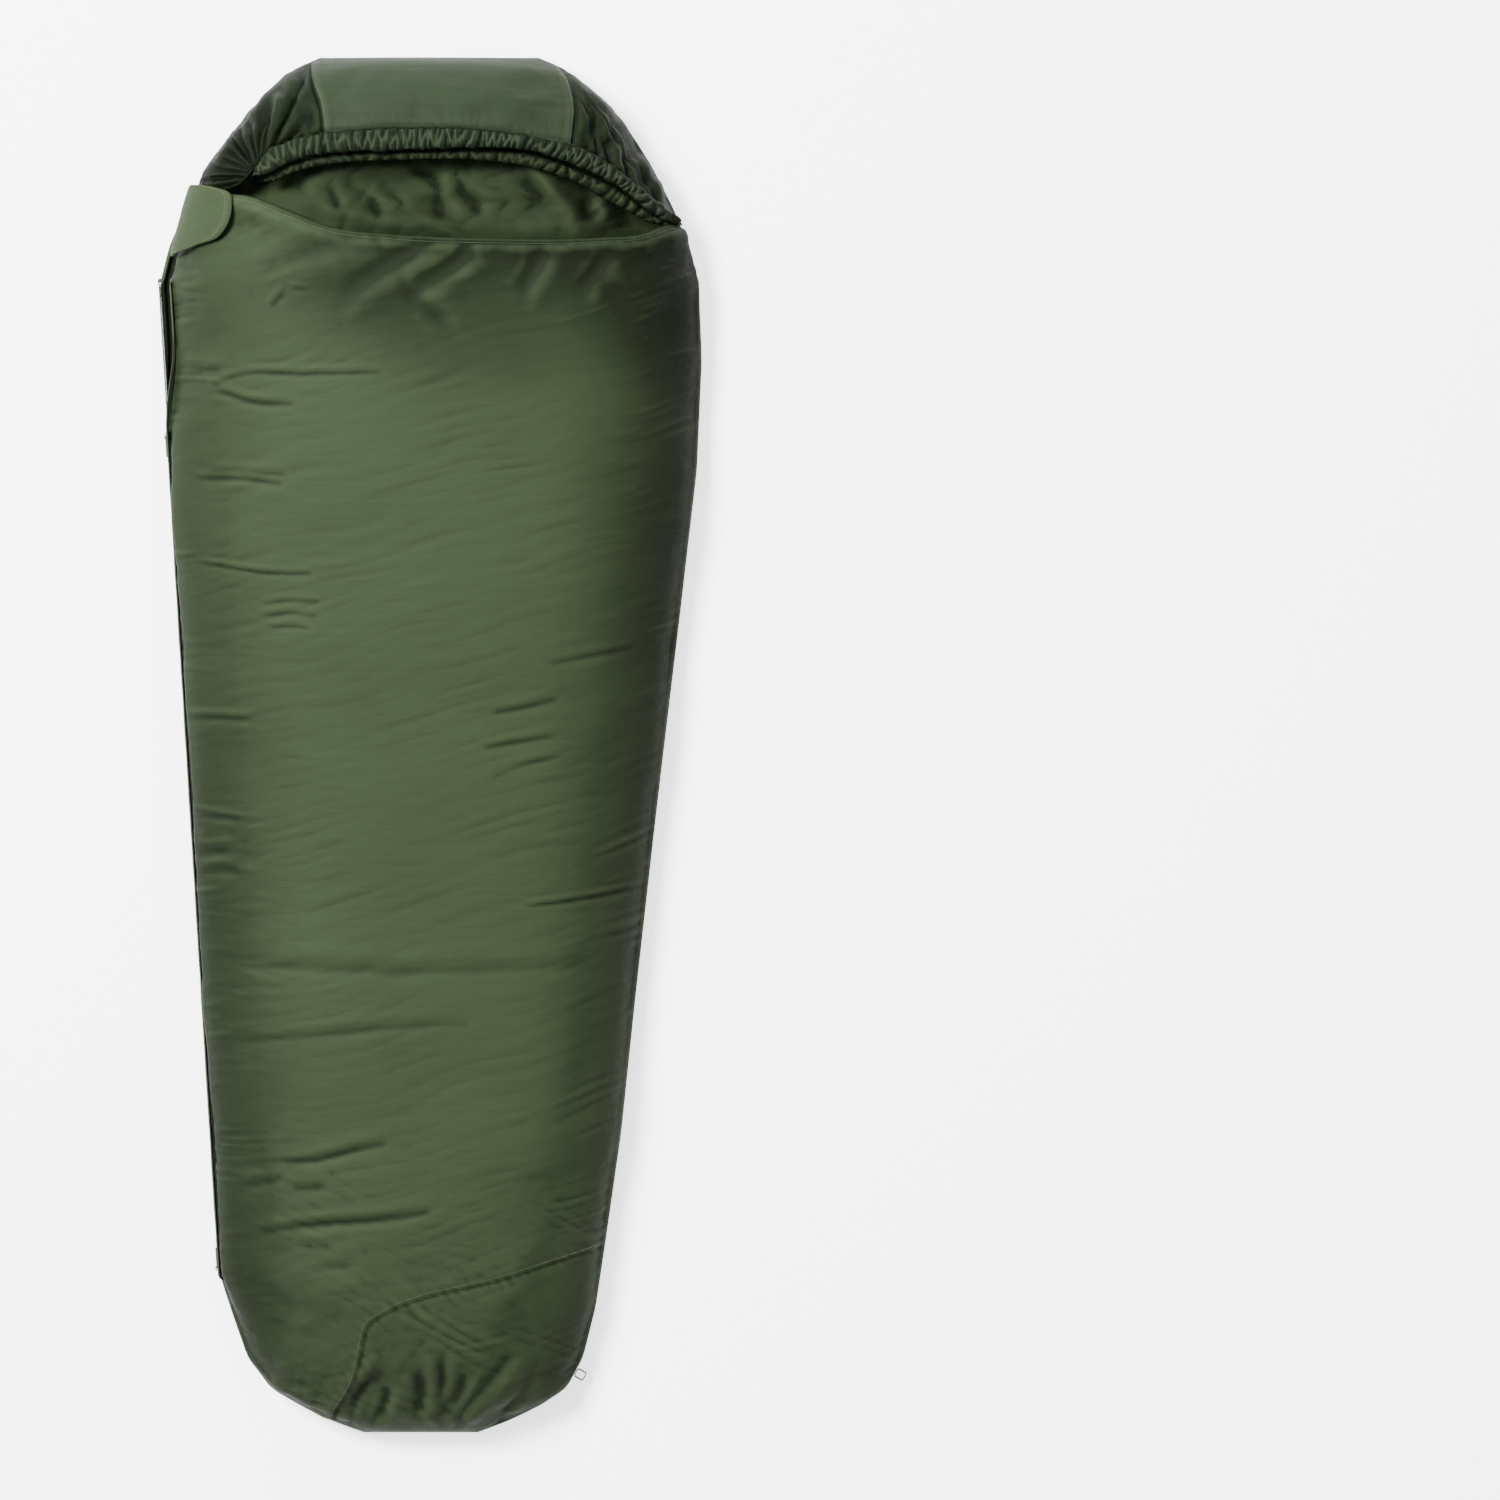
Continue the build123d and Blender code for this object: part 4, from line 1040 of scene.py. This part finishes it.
def stitched(name, surface, line, pitch=0.0042, radius=0.00055):
    """A row of thread stitches along a plan line on a surface."""
    run = np.asarray(line, float)
    length = np.linalg.norm(np.diff(run, axis=0), axis=1).sum()
    places = laid_on(surface, fine_line(line, int(2 * length / pitch)), radius * 0.4)
    corners, faces = [], []
    for (start, up), (end, _) in zip(places[:-1:2], places[1::2]):
        along = end - start
        if along.length > 2 * pitch or along.length < pitch / 8:
            continue
        ahead = along.normalized()
        side = ahead.cross(up).normalized()
        first = len(corners)
        for share, size in ((-0.1, 0.35), (0.2, 1.0), (0.8, 1.0), (1.1, 0.35)):
            centre = start + along * share
            corners += [tuple(centre + radius * size * (side * math.cos(t) + up * math.sin(t)))
                        for t in (0.0, math.tau / 5, 2 * math.tau / 5, 3 * math.tau / 5, 4 * math.tau / 5)]
        for ring in range(3):
            for k in range(5):
                a, b = first + 5 * ring + k, first + 5 * ring + (k + 1) % 5
                faces.append([a, b, b + 5, a + 5])
        faces += [[first + k for k in (4, 3, 2, 1, 0)], [first + 15 + k for k in range(5)]]
    return mesh_object(name, corners, faces, [finish("thread")])


def shifted_line(line, gap):
    """A plan line moved sideways, to the left of its run for a positive gap."""
    points = fine_line(scaled(line), 80)
    run = np.gradient(points, axis=0)
    run /= np.linalg.norm(run, axis=1, keepdims=True)
    return points + gap * np.stack([-run[:, 1], run[:, 0]], axis=1)


def make_stitching(front, hood):
    sizes = bpy.context.scene.bag_sizes
    on_front, on_hood = surface_of(front), surface_of(hood)
    hem = [(x, y) for x, y in shifted_line(HEM_LINE, -sizes.hem)
           if form.left(y) + 0.03 < x < form.right(y) - 0.012]
    rows = {"hem_stitching": (on_front, hem),
            "toe_seam_stitching": (on_front, shifted_line(TOE_SEAM[1:-1], -0.0055)),
            "hood_left_stitching": (on_hood, shifted_line(HOOD_SEAMS["left"][1:], 0.0060)),
            "hood_right_stitching": (on_hood, shifted_line(HOOD_SEAMS["right"][1:], -0.0060))}
    for name, (surface, line) in rows.items():
        put(stitched(name, surface, line), "bag", "shell_fabric")


def angle_over(x, y):
    """The arch's angle over a plan point."""
    left, right = form.front_left(y), form.right(y)
    share = np.clip((left + right - 2 * x) / (right - left), -1, 1)
    return np.arccos(np.sign(share) * np.abs(share) ** (2.35 / 2))


def patch_on_arch(corner_rows, lift, thick, relief=0.0):
    """A thin closed sheet over the arch: rows of (angle, y) points, raised by lift."""
    angle, y = corner_rows[..., 0], corner_rows[..., 1]
    base = form.arch(angle, y)
    step = 0.004
    across = form.arch(angle + step, y) - form.arch(angle - step, y)
    along = form.arch(angle, y + step) - form.arch(angle, y - step)
    square = np.cross(across, along)
    square /= np.linalg.norm(square, axis=2, keepdims=True)
    square = np.where(square[..., 2:] < 0, -square, square)
    low = base + square * lift
    left, right, first, last = from_edges(low)
    gap = np.minimum.reduce([left, right, first, last])
    round_off = np.sqrt(1 - (1 - np.clip(gap / (0.7 * thick), 0, 1)) ** 2)
    high = low + square * (thick * round_off + relief * ease(gap, 0, 0.004))[..., None]
    return high, low


def thin_piece(name, high, low, finish_name):
    rows, columns = high.shape[:2]
    count = rows * columns
    faces = grid_faces(rows, columns, flip=True) + grid_faces(rows, columns, count)
    ring, under = border(rows, columns), border(rows, columns, count)
    for k in range(len(ring)):
        after = (k + 1) % len(ring)
        faces.append([int(ring[k]), int(ring[after]), int(under[after]), int(under[k])])
    uv = np.concatenate([cloth_uv(high), cloth_uv(low)])
    depth = np.concatenate([crease_of(high).ravel(), np.zeros(count)])
    corners = np.concatenate([high.reshape(-1, 3), low.reshape(-1, 3)])
    return mesh_object(name, corners, faces, [finish(finish_name)], uv=uv, crease_depth=depth)


def flap_rows(rows, columns, shrink=1.0):
    """The corner flap's plan, as (angle, y) rows from its hinge line outwards."""
    share = np.linspace(0, 1, columns)
    outer = fine_line(scaled([(-0.402, 0.779), (-0.366, 0.793), (-0.330, 0.806), (-0.314, 0.830),
                              (-0.309, 0.856), (-0.311, 0.873), (-0.335, 0.884), (-0.372, 0.890)]), columns)
    hinge_y = (0.777 + 0.114 * share) * LONG
    out_angle = angle_over(outer[:, 0], outer[:, 1])
    hinge_angle = np.full(columns, 0.10)
    step = (np.linspace(0, 1, rows) * shrink)[:, None]
    angle = hinge_angle + (np.maximum(out_angle, hinge_angle + 0.004) - hinge_angle) * step
    y = hinge_y + (outer[:, 1] - hinge_y) * step
    return np.stack([angle, y], axis=-1)


def make_flap():
    plan = flap_rows(46, 60)
    high, low = patch_on_arch(plan, 0.0095, 0.0042)
    x, y = high[..., 0], high[..., 1]
    left, right, first, last = from_edges(high)
    gap = np.minimum.reduce([left, right, last])
    sewn = -0.0012 * np.exp(-(((gap - 0.006) / 0.0016) ** 2)) + 0.0009 * folds(x / 0.03, y / 0.018, 81)
    sewn += 0.0008 * np.exp(-gap / 0.004) * noise((x + y) / 0.010, x * 0, 82)
    high, low = patch_on_arch(plan, 0.0095, 0.0042, sewn)
    flap = thin_piece("corner_flap_cloth", high, low, "shell")
    put(flap, "flap", "shell_fabric", "corner_flap")
    line = np.concatenate([high[8:-4, 3, :2], high[-4, 3:-3, :2], high[-5:8:-1, -4, :2]])
    put(stitched("corner_flap_stitching", surface_of(flap), line), "flap", "shell_fabric")


def make_patches():
    columns, rows = 26, 18
    for name, node, body, lift, thick in (("hook_patch", "flap_hook_patch", "flap", 0.0076, 0.0018),
                                          ("loop_patch", "flap_loop_patch", "bag", 0.0052, 0.0022)):
        low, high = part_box(node)
        y = np.linspace(low.y, high.y, columns)
        x_low, x_high = low.x, high.x
        angle_low, angle_high = angle_over(x_low, y), angle_over(x_high, y)
        step = np.linspace(0, 1, rows)[:, None]
        plan = np.stack([angle_low + (angle_high - angle_low) * step,
                         np.broadcast_to(y, (rows, columns))], axis=-1)
        top, under = patch_on_arch(plan, lift, thick)
        put(thin_piece(name, top, under, "pile"), body, "hook_and_loop", node)


def make_piping():
    low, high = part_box("front_edge_piping")
    y = np.linspace(low.y, high.y, 900)
    base = form.arch(np.full(y.shape, 0.085), y)
    path = base + np.array([-0.0012, 0, 0])
    wavy = 0.0007 * noise(y / 0.05, y * 0, 91)
    path[:, 0] += wavy
    ends = np.clip(np.minimum(y - low.y, high.y - y) / 0.004, 0.15, 1)[:, None]

    def shape(out, across, turn):
        swell = (1 + 0.10 * folds(y[:, None] / 0.007, np.sin(turn)[None, :], 92)) * ends
        return out * swell, across * swell

    piping = tube("front_edge_piping_roll", path, 0.0024, finish("piping"), 12, shape)
    put(piping, "bag", "shell_fabric", "front_edge_piping")


def make_draft_tube():
    low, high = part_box("draft_tube")
    y = np.linspace(low.y, high.y, 420)
    path = np.column_stack([form.front_left(y) + 0.024, y, np.full(y.shape, (low.z + high.z) / 2)])
    ends = np.sqrt(np.clip(np.minimum(y - low.y, high.y - y) / 0.02, 0.02, 1))[:, None]

    def shape(out, across, turn):
        swell = (1 + 0.10 * folds(y[:, None] / 0.035, np.sin(turn)[None, :], 95)) * ends
        return np.cos(turn)[None, :] * 0.0054 * swell, np.sin(turn)[None, :] * 0.0155 * swell

    piece = tube("draft_tube_padding", path, 1.0, finish("lining"), 24, shape)
    put(piece, "bag", "lining_fabric", "draft_tube")


def make_coils():
    """Two nylon coils, whose turns lie between each other's where the zip is closed."""
    pitch, wire = 0.0026, 0.00052
    start, end = Vector((ZIP_HIGH.x - 0.0015, ZIP_LOW.y, 0)), Vector((ZIP_LOW.x + 0.0015, ZIP_HIGH.y, 0))
    turns = int((end.y - start.y) / pitch)
    place = np.linspace(0, 1, turns * 12 + 1)
    spin = place * turns * math.tau
    y = start.y + (end.y - start.y) * place
    for name, node, phase in (("zip_coil_back_wire", "zip_coil_back", 0.0),
                              ("zip_coil_front_wire", "zip_coil_front", math.pi)):
        low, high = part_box(node)
        x = start.x + (end.x - start.x) * place
        if node == "zip_coil_front":
            x = x + form.front_left(y) - form.left(y)
        reach = (high.z - low.z) / 2 - wire
        path = np.column_stack([x + (0.0015 - wire) * np.sin(spin + phase), y,
                                (low.z + high.z) / 2 + reach * np.cos(spin + phase)])
        direction = np.gradient(path, axis=0)
        direction /= np.linalg.norm(direction, axis=1, keepdims=True)
        side = np.cross(direction, np.array([0.0, 1.0, 0.0]))
        side /= np.maximum(np.linalg.norm(side, axis=1, keepdims=True), 1e-9)
        up = np.cross(direction, side)
        turn = np.linspace(0, math.tau, 6, endpoint=False)
        corners = (path[:, None, :] + wire * np.cos(turn)[None, :, None] * side[:, None, :]
                   + wire * np.sin(turn)[None, :, None] * up[:, None, :])
        faces = grid_faces(len(path), 6, wrap=True)
        last = (len(path) - 1) * 6
        faces += [[5, 4, 3, 2, 1, 0], list(range(last, last + 6))]
        put(mesh_object(name, corners.reshape(-1, 3), faces, [finish("coil")]), "bag", "zip_coil", node)


def dress_nodes():
    """Gives the CAD nodes that stay their finishes."""
    chosen = {"zip_tape_back": "tape", "zip_tape_front": "tape", "zip_foot_stop": "metal",
              "zip_head_stop_back": "metal", "zip_head_stop_front": "metal", "zip_slider_upper": "metal",
              "zip_slider_lower": "metal", "zip_pull_upper": "metal", "zip_pull_lower": "metal",
              "foot_loop": "webbing"}
    for node, finish_name in chosen.items():
        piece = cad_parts[node]
        piece.data.materials.clear()
        piece.data.materials.append(finish(finish_name))


def make_stage():
    lights = bpy.context.scene.bag_lights
    sizes = bpy.context.scene.bag_sizes
    spread = 14.0
    corners = [(x * spread, y * spread, 0.0) for x, y in ((-1, -1), (1, -1), (1, 1), (-1, 1))]
    mesh = bpy.data.meshes.new("studio_floor")
    mesh.from_pydata([(x, y, -0.0005) for x, y, _ in corners], [], [(0, 1, 2, 3)])
    mesh.materials.append(paper("studio_floor_paper", bpy.context.scene.bag_colors.floor))
    floor = bpy.data.objects.new("studio_floor", mesh)
    bpy.context.scene.collection.objects.link(floor)
    for name, power, size, at, aim in (
        ("key_light", lights.key, lights.key_size, (-4.3, 3.0, 7.4), (0.0, 0.0, 0.0)),
        ("head_light", lights.head, 2.4, (0.8, 7.0, 3.0), (0.0, 0.5, 0.0)),
        ("fill_light", lights.fill, 3.5, (5.0, -2.5, 8.0), (0.0, 0.0, 0.0)),
    ):
        data = bpy.data.lights.new(name, "AREA")
        data.energy, data.size, data.shape = power, size, "SQUARE"
        lamp = bpy.data.objects.new(name, data)
        lamp.location = at
        lamp.rotation_euler = (Vector(aim) - Vector(at)).to_track_quat("-Z", "Y").to_euler()
        bpy.context.scene.collection.objects.link(lamp)
    world = bpy.data.worlds.new("pale_room")
    world.use_nodes = True
    background = world.node_tree.nodes["Background"]
    background.inputs["Color"].default_value = (1.0, 1.0, 1.0, 1.0)
    background.inputs["Strength"].default_value = lights.room
    bpy.context.scene.world = world
    data = bpy.data.cameras.new("overhead_camera")
    data.lens = data.sensor_width * (sizes.camera_height - 0.1) / sizes.view_width
    camera = bpy.data.objects.new("overhead_camera", data)
    camera.location = (sizes.view_offset, -0.008, sizes.camera_height)
    bpy.context.scene.collection.objects.link(camera)
    bpy.context.scene.camera = camera


# ---------------------------------------------------------------- the add-on


def length(name, description, default):
    return FloatProperty(name=name, description=description, default=default, subtype="DISTANCE",
                         unit="LENGTH")


def color(name, description, default):
    return FloatVectorProperty(name=name, description=description, default=default, size=3,
                               subtype="COLOR", min=0.0, max=1.0)


class BagSizes(bpy.types.PropertyGroup):
    front_fill: length("Front fill", "Thickness of the front quilt", 0.030)
    hood_fill: length("Hood fill", "Thickness of the hood", 0.026)
    channel: length("Channel", "Half height of the gathered channel round the face", 0.0095)
    hem: length("Hem", "Width of the front quilt's stitched hem", 0.012)
    lining_puff: length("Lining puff", "How high the lining stands in the face opening", 0.082)
    settle_limit: length("Settling limit", "How far cloth may move while it settles", 0.012)
    crease: FloatProperty(name="Creases", description="Strength of the creases", default=1.0, min=0.0,
                          max=2.0)
    slack: FloatProperty(name="Slack", description="How much larger the front's cloth is than its seams",
                         default=0.015, min=0.0, max=0.1)
    hood_slack: FloatProperty(name="Hood slack",
                              description="How much larger the hood's cloth is than its seams",
                              default=0.006, min=0.0, max=0.1)
    fill_pressure: FloatProperty(name="Fill pressure", description="Push of the filling on the cloth",
                                 default=1.0, min=0.0)
    camera_height: length("Camera height", "Height of the camera over the floor", 12.0)
    view_width: length("View width", "Width that the camera takes in", 2.388)
    view_offset: length("View offset", "How far the view's middle is to the right of the bag", 0.509)


class BagColors(bpy.types.PropertyGroup):
    shell: color("Shell", "Olive green outer cloth", (0.0134, 0.0196, 0.0095))
    hood: color("Hood", "Cloth of the hood's middle panel", (0.0102, 0.0148, 0.0082))
    hood_side: color("Hood sides", "Cloth of the hood's side panels", (0.0036, 0.0060, 0.0026))
    lining: color("Lining", "Inner cloth", (0.0086, 0.0130, 0.0060))
    piping: color("Piping", "Pale rolled edge of the front quilt", (0.028, 0.037, 0.020))
    thread: color("Thread", "Sewing thread", (0.030, 0.042, 0.018))
    tape: color("Tape", "Zip tape and webbing", (0.0085, 0.0135, 0.0050))
    coil: color("Coil", "Nylon zip coils", (0.006, 0.008, 0.005))
    metal: color("Metal", "Lacquered sliders and stops", (0.020, 0.022, 0.020))
    floor: color("Floor", "Studio floor", (0.93, 0.93, 0.93))
    mottle: FloatProperty(name="Mottle", description="Brightness of the cloth's lighter patches",
                          default=1.25, min=0.0, max=4.0)
    # This brightness sets the painted shade where it is deepest.
    painted_shade_brightness: FloatProperty(name="Deep dye", description="Brightness of the cloth where its dye is deepest",
                            default=0.16, min=0.0, max=1.0)
    # Crest sets a painted highlight on the tops of folds.
    crest: FloatProperty(name="Crest", description="Brightness of the cloth worn pale on a crest",
                         default=1.7, min=0.0, max=4.0)
    # Crease shade sets the painted shade in creases.
    crease_shade: FloatProperty(name="Crease shade", description="Brightness of the cloth deep in a crease",
                                default=0.35, min=0.0, max=1.0)


class BagLights(bpy.types.PropertyGroup):
    key: FloatProperty(name="Key", description="Power of the large light at the left", default=4600.0,
                       min=0.0, subtype="POWER", unit="POWER")
    key_size: length("Key size", "Side of the large light", 3.2)
    head: FloatProperty(name="Head", description="Power of the light beyond the head", default=500.0, min=0.0,
                        subtype="POWER", unit="POWER")
    fill: FloatProperty(name="Fill", description="Power of the soft light at the right", default=350.0,
                        min=0.0, subtype="POWER", unit="POWER")
    floor: FloatProperty(name="Floor glow", description="Brightness that the lit floor adds",
                         default=1.8, min=0.0)
    room: FloatProperty(name="Room", description="Brightness of the pale room", default=0.8, min=0.0)


class BAG_OT_front(bpy.types.Operator):
    """Makes the front quilt and its settled cloth"""

    bl_idname = "bag.front"
    bl_label = "Front quilt"

    def execute(self, context):
        make_front()
        return {"FINISHED"}


class BAG_OT_hood(bpy.types.Operator):
    """Makes the padded hood and its three panels"""

    bl_idname = "bag.hood"
    bl_label = "Hood"

    def execute(self, context):
        make_hood()
        return {"FINISHED"}


class BAG_OT_back(bpy.types.Operator):
    """Makes the back quilt and the loose lining in the face opening"""

    bl_idname = "bag.back"
    bl_label = "Back quilt"

    def execute(self, context):
        make_back()
        return {"FINISHED"}


class BAG_OT_channel(bpy.types.Operator):
    """Makes the gathered channel round the face opening"""

    bl_idname = "bag.channel"
    bl_label = "Face channel"

    def execute(self, context):
        make_channel()
        return {"FINISHED"}


class BAG_OT_flap(bpy.types.Operator):
    """Makes the corner flap and its hook and loop patches"""

    bl_idname = "bag.flap"
    bl_label = "Corner flap"

    def execute(self, context):
        make_flap()
        make_patches()
        return {"FINISHED"}


class BAG_OT_zip(bpy.types.Operator):
    """Makes the zip's coils, its piping and draft tube, and dresses its hardware"""

    bl_idname = "bag.zip"
    bl_label = "Zip"

    def execute(self, context):
        make_piping()
        make_draft_tube()
        make_coils()
        dress_nodes()
        return {"FINISHED"}


class BAG_OT_stitching(bpy.types.Operator):
    """Sews the rows of stitches; the front quilt and the hood are made first"""

    bl_idname = "bag.stitching"
    bl_label = "Stitching"

    def execute(self, context):
        make_stitching(bpy.data.objects["front_quilt"], bpy.data.objects["hood_quilt"])
        return {"FINISHED"}


class BAG_OT_stage(bpy.types.Operator):
    """Makes the floor, the lights and the camera"""

    bl_idname = "bag.stage"
    bl_label = "Stage"

    def execute(self, context):
        make_stage()
        return {"FINISHED"}


PIECES = (BAG_OT_back, BAG_OT_front, BAG_OT_hood, BAG_OT_channel, BAG_OT_flap, BAG_OT_zip, BAG_OT_stitching,
          BAG_OT_stage)


class BAG_PT_panel(bpy.types.Panel):
    """Lists the bag's sizes, colours and operators"""

    bl_idname = "BAG_PT_panel"
    bl_label = "Mummy sleeping bag"
    bl_space_type = "VIEW_3D"
    bl_region_type = "UI"
    bl_category = "Sleeping bag"

    def draw(self, context):
        for group in (context.scene.bag_sizes, context.scene.bag_colors, context.scene.bag_lights):
            box = self.layout.box()
            for key in group.__annotations__:
                box.prop(group, key)
        for piece in PIECES:
            self.layout.operator(piece.bl_idname)


CLASSES = (BagSizes, BagColors, BagLights, *PIECES, BAG_PT_panel)


def register():
    for made in CLASSES:
        bpy.utils.register_class(made)
    bpy.types.Scene.bag_sizes = PointerProperty(type=BagSizes)
    bpy.types.Scene.bag_colors = PointerProperty(type=BagColors)
    bpy.types.Scene.bag_lights = PointerProperty(type=BagLights)


def unregister():
    del bpy.types.Scene.bag_lights
    del bpy.types.Scene.bag_colors
    del bpy.types.Scene.bag_sizes
    for made in reversed(CLASSES):
        bpy.utils.unregister_class(made)


def main():
    register()
    for piece in PIECES:
        group, name = piece.bl_idname.split(".")
        getattr(getattr(bpy.ops, group), name)()


if __name__ == "__main__":
    main()
